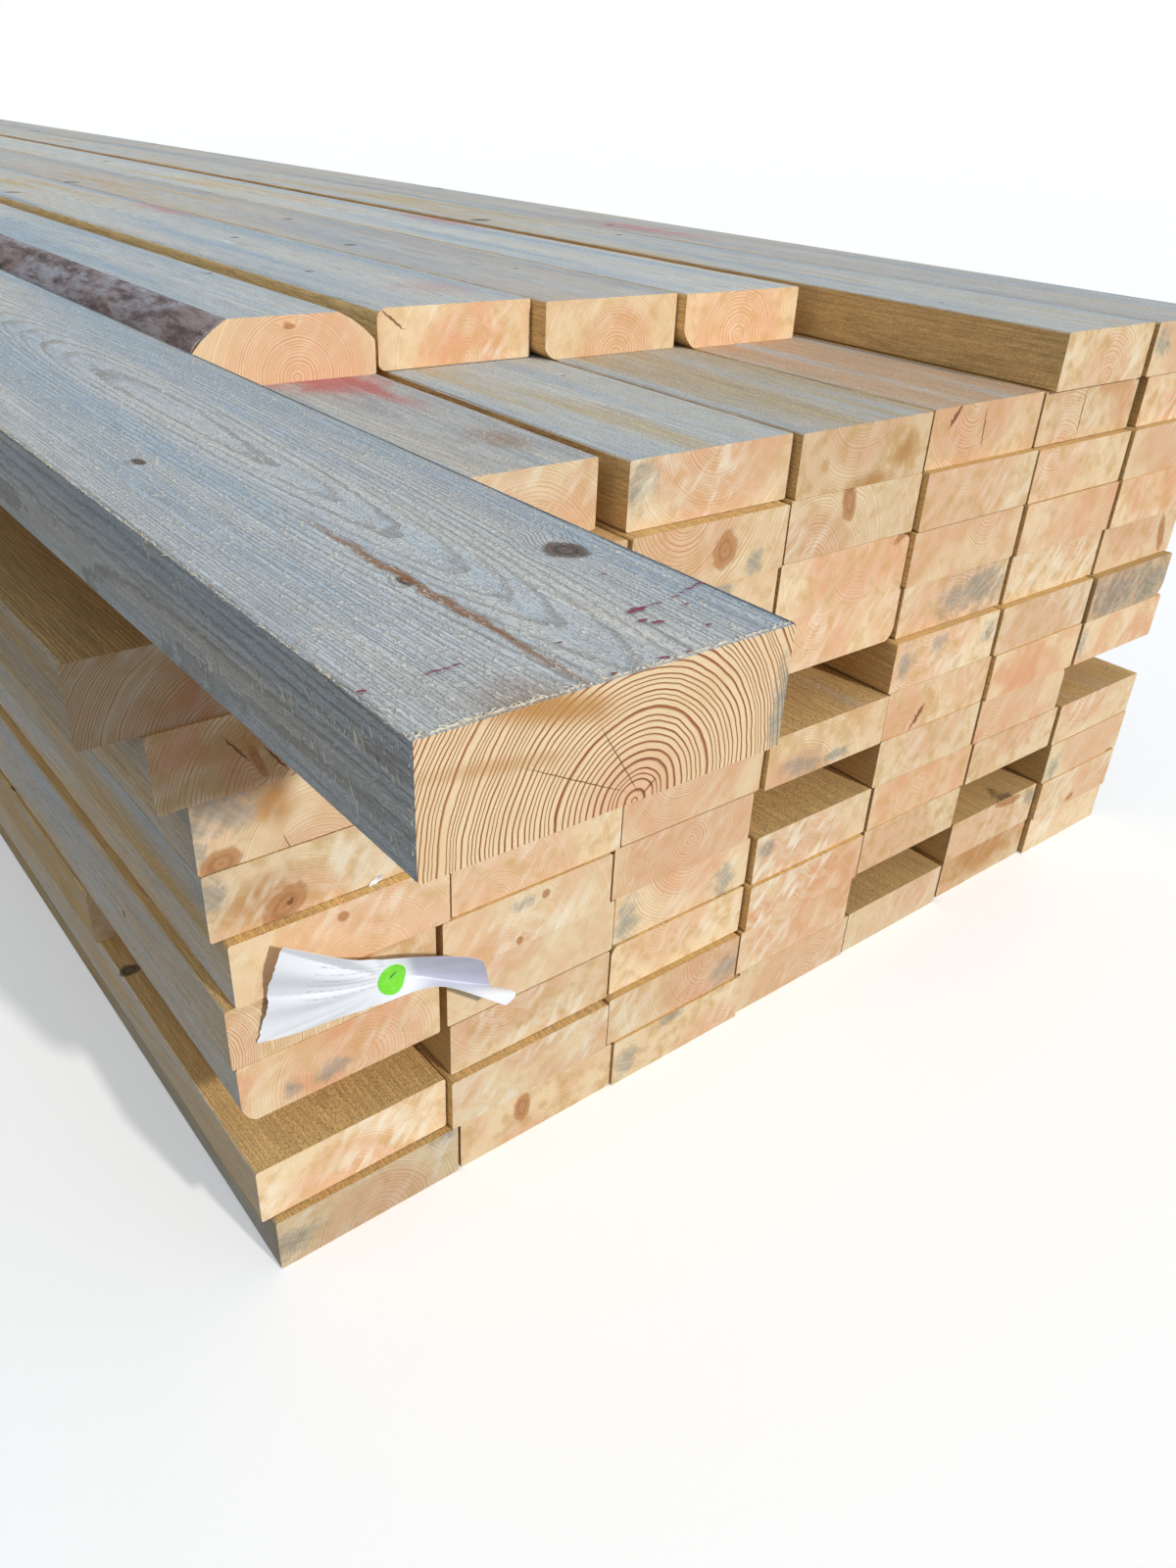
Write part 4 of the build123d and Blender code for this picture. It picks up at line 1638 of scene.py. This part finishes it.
@dataclass
class InkFlecks:
    """Flecks of magenta ink near the end of the long board, as thin films: what is left of a sprayed mark.

    Each is across and deep from the lower left corner of the near end, then long and wide, in mm.
    """

    film: float = 0.12
    lift: float = 0.4
    ragged: float = 0.12
    turned: tuple[float, float] = (-25, 12)
    seed: int = 8
    flecks: tuple[tuple[float, float, float, float], ...] = (
        (110.8, 37.2, 5.0, 2.4), (107.8, 36.4, 3.6, 1.8), (120.6, 37.6, 2.4, 1.0), (130.3, 39, 2.6, 0.9),
        (134.6, 40.6, 2.2, 0.7), (139.4, 42, 3.0, 1.1), (142.6, 43, 2.2, 0.8), (146.1, 43.8, 3.2, 1.2),
        (105.7, 28.7, 3.6, 1.7), (109.2, 24.9, 4.4, 1.9), (122, 14.3, 2.2, 1.2), (128.4, 31.7, 2.2, 1.0),
        (122.5, 69.2, 1.8, 0.8), (71.3, 29.1, 2.0, 1.0), (91.9, 2.6, 3.4, 1.3), (101.4, 2.0, 1.8, 0.9),
        (71.2, 2.2, 2.0, 1.2), (27.6, 32.4, 3.2, 1.0), (31.1, 32.2, 2.6, 0.9), (35, 32.7, 3.0, 0.9),
        (2.9, 32.4, 2.6, 1.3), (113.5, 37.3, 2.6, 1.0), (117.2, 37.6, 1.8, 0.7), (24.6, 32.0, 1.8, 0.8),
    )

    def build(self, corner: Vector, top: float, ink: bpy.types.Material) -> bpy.types.Object:
        """Lay the flecks on the board.

        Args:
            corner: the lower left corner of the board's near end.
            top: the height of the board's upper side.
            ink: the ink's material.

        Returns:
            All the flecks, as one piece.
        """
        draw = random.Random(self.seed)
        sizes = {"vertices": 10, "radius": 0.5, "depth": 1.0}
        model = start_from("cylinder", "fleck", **sizes, end_fill_type="NGON")
        with editing():
            bpy.ops.transform.vertex_random(offset=self.ragged, uniform=0.5, seed=3)
        turns = []
        for across, deep, long, wide in self.flecks:
            place = corner + Vector((across, deep, 0)) * MM
            place.z = top + self.lift * self.film * MM
            spun = Matrix.Rotation(math.radians(draw.uniform(*self.turned)), 4, "Z")
            size = Matrix.Diagonal((long * MM, wide * MM, self.film * MM, 1))
            turns.append(Matrix.Translation(place) @ spun @ size)
        piece = scatter(model, turns, "ink_flecks")
        piece.data.materials.append(ink)
        return declare(piece, "sawn_softwood")


@dataclass(frozen=True)
class View:
    """The photograph's camera: where it stood, how it was turned, and its lens. Places are in metres."""

    stand: Point = (-0.7151, -2.9300, 0.7228)
    right: Point = (0.7789, -0.6252, 0.0483)
    down: Point = (-0.2857, -0.4224, -0.8602)
    ahead: Point = (0.5582, 0.6563, -0.5077)
    focal_length: float = 26.60
    film_side: float = 36.0

    def place(self) -> None:
        """Put the camera in the scene."""
        camera = bpy.data.cameras.new("photograph")
        camera.sensor_fit = "AUTO"
        camera.sensor_width = self.film_side
        camera.lens = self.focal_length
        camera.clip_start = 0.02
        stand = bpy.data.objects.new("photograph", camera)
        bpy.context.scene.collection.objects.link(stand)
        turn = Matrix((self.right, [-v for v in self.down], [-v for v in self.ahead])).transposed()
        stand.matrix_world = Matrix.Translation(self.stand) @ turn.to_4x4()
        bpy.context.scene.camera = stand


@dataclass(frozen=True)
class Studio:
    """A pale floor under plain soft light: an even sky and one soft lamp in front, a little to the right."""

    floor_half: float = 60.0
    floor_seen: str = "#F4F4F3"
    floor_lift: float = 0.3
    floor_bounce: str = "#858688"
    floor_roughness: float = 0.9
    sky: float = 0.6
    sky_colour: str = "#E2ECF8"
    sky_seen: str = "#FFFFFF"
    lamp: float = 2.15
    lamp_colour: str = "#FFFCF6"
    lamp_softness: float = 3.0
    light_travels: Point = (-0.16, 1.0, -0.49)

    def seen(self, node: Adder) -> bpy.types.Node:
        """Tell what the eye sees, straight or in a mirror or glass, from what only lights other things."""
        path = node("LightPath").outputs
        mirrored = node("Math MAXIMUM", path["Is Camera Ray"], path["Is Glossy Ray"])
        return node("Math MAXIMUM", mirrored, path["Is Transmission Ray"])

    def build(self) -> None:
        """Lay the floor, light the scene and fix how colours are shown."""
        self.lay_floor()
        lamp = bpy.data.lights.new("soft_lamp", "SUN")
        lamp.energy = self.lamp
        lamp.angle = math.radians(self.lamp_softness)
        lamp.color = linear(self.lamp_colour)[:3]
        lit = bpy.data.objects.new("soft_lamp", lamp)
        lit.rotation_euler = Vector(self.light_travels).to_track_quat("-Z", "Y").to_euler()
        bpy.context.scene.collection.objects.link(lit)
        self.hang_sky()
        bpy.context.scene.view_settings.view_transform = "Standard"

    def lay_floor(self) -> None:
        """Lay a floor that looks near white and throws little light back on the pack."""
        floor = start_from("plane", "floor", size=2 * self.floor_half)
        paint, node, shader = new_material("pale_floor")
        seen = self.seen(node)
        colour = node("Mix", seen, self.floor_bounce, self.floor_seen, **MIX)
        lift = node("Math MULTIPLY", seen, self.floor_lift)
        feed(shader, {"Base Color": colour, "Roughness": self.floor_roughness})
        feed(shader, {"Emission Strength": lift, "Emission Color": self.floor_seen})
        floor.data.materials.append(paint)

    def hang_sky(self) -> None:
        """Make the sky white to the eye, and dimmer and a little blue as a light."""
        world = bpy.data.worlds.new("even_sky")
        bpy.context.scene.world = world
        world.use_nodes = True
        node = partial(add, world.node_tree)
        seen = self.seen(node)
        strength = node("MapRange", seen, 0.0, 1.0, self.sky, 1.0)
        colour = node("Mix", seen, self.sky_colour, self.sky_seen, **MIX)
        feed(world.node_tree.nodes["Background"], {"Strength": strength, "Color": colour})


def main() -> None:
    """Build the pack and the studio round it."""
    logging.basicConfig(level=logging.INFO, format="%(name)s: %(message)s")
    View().place()
    Studio().build()
    figure = WoodFigure()
    pack = Pack()
    end = CutEnd().material(figure, "pine_cut_end")
    face = SawnFace().material(figure, "pine_sawn_face")
    pack.build(draw_logs(pack), end, face)
    BarkStrip().build(pack.boards[pack.waney], PineBark().material("pine_bark"))
    near = pack.corner(pack.overhanging)
    Splinters().build(near, Vector(CAD_BOX[0]), TORN_FIBRE.material("torn_pine_fibre"))
    InkFlecks().build(near, pack.top_of(pack.overhanging), MARKING_INK.material("magenta_marking_ink"))
    paper = CopyPaper().material("office_paper")
    label = DeliveryLabel()
    corner = label_corner(pack)
    slip = label.build(corner, paper)
    dot = label.stick_dot(slip, corner, GREEN_STICKER.material("green_sticker_paper"))
    label.pen_stroke(dot, corner, PEN_INK.material("pen_ink"))
    PaperScrap().build(pack.corner((1, 7)), paper)


def label_corner(pack: Pack) -> Vector:
    """Find the point that the slip is measured from: on the wood, at the foot of a board of column 1."""
    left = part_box("delivery_label")[0][0]
    return Vector((left - LABEL_FROM_SIDE * MM, pack.corner((1, 5)).y, pack.corner((1, 6)).z))


if __name__ == "__main__":
    main()
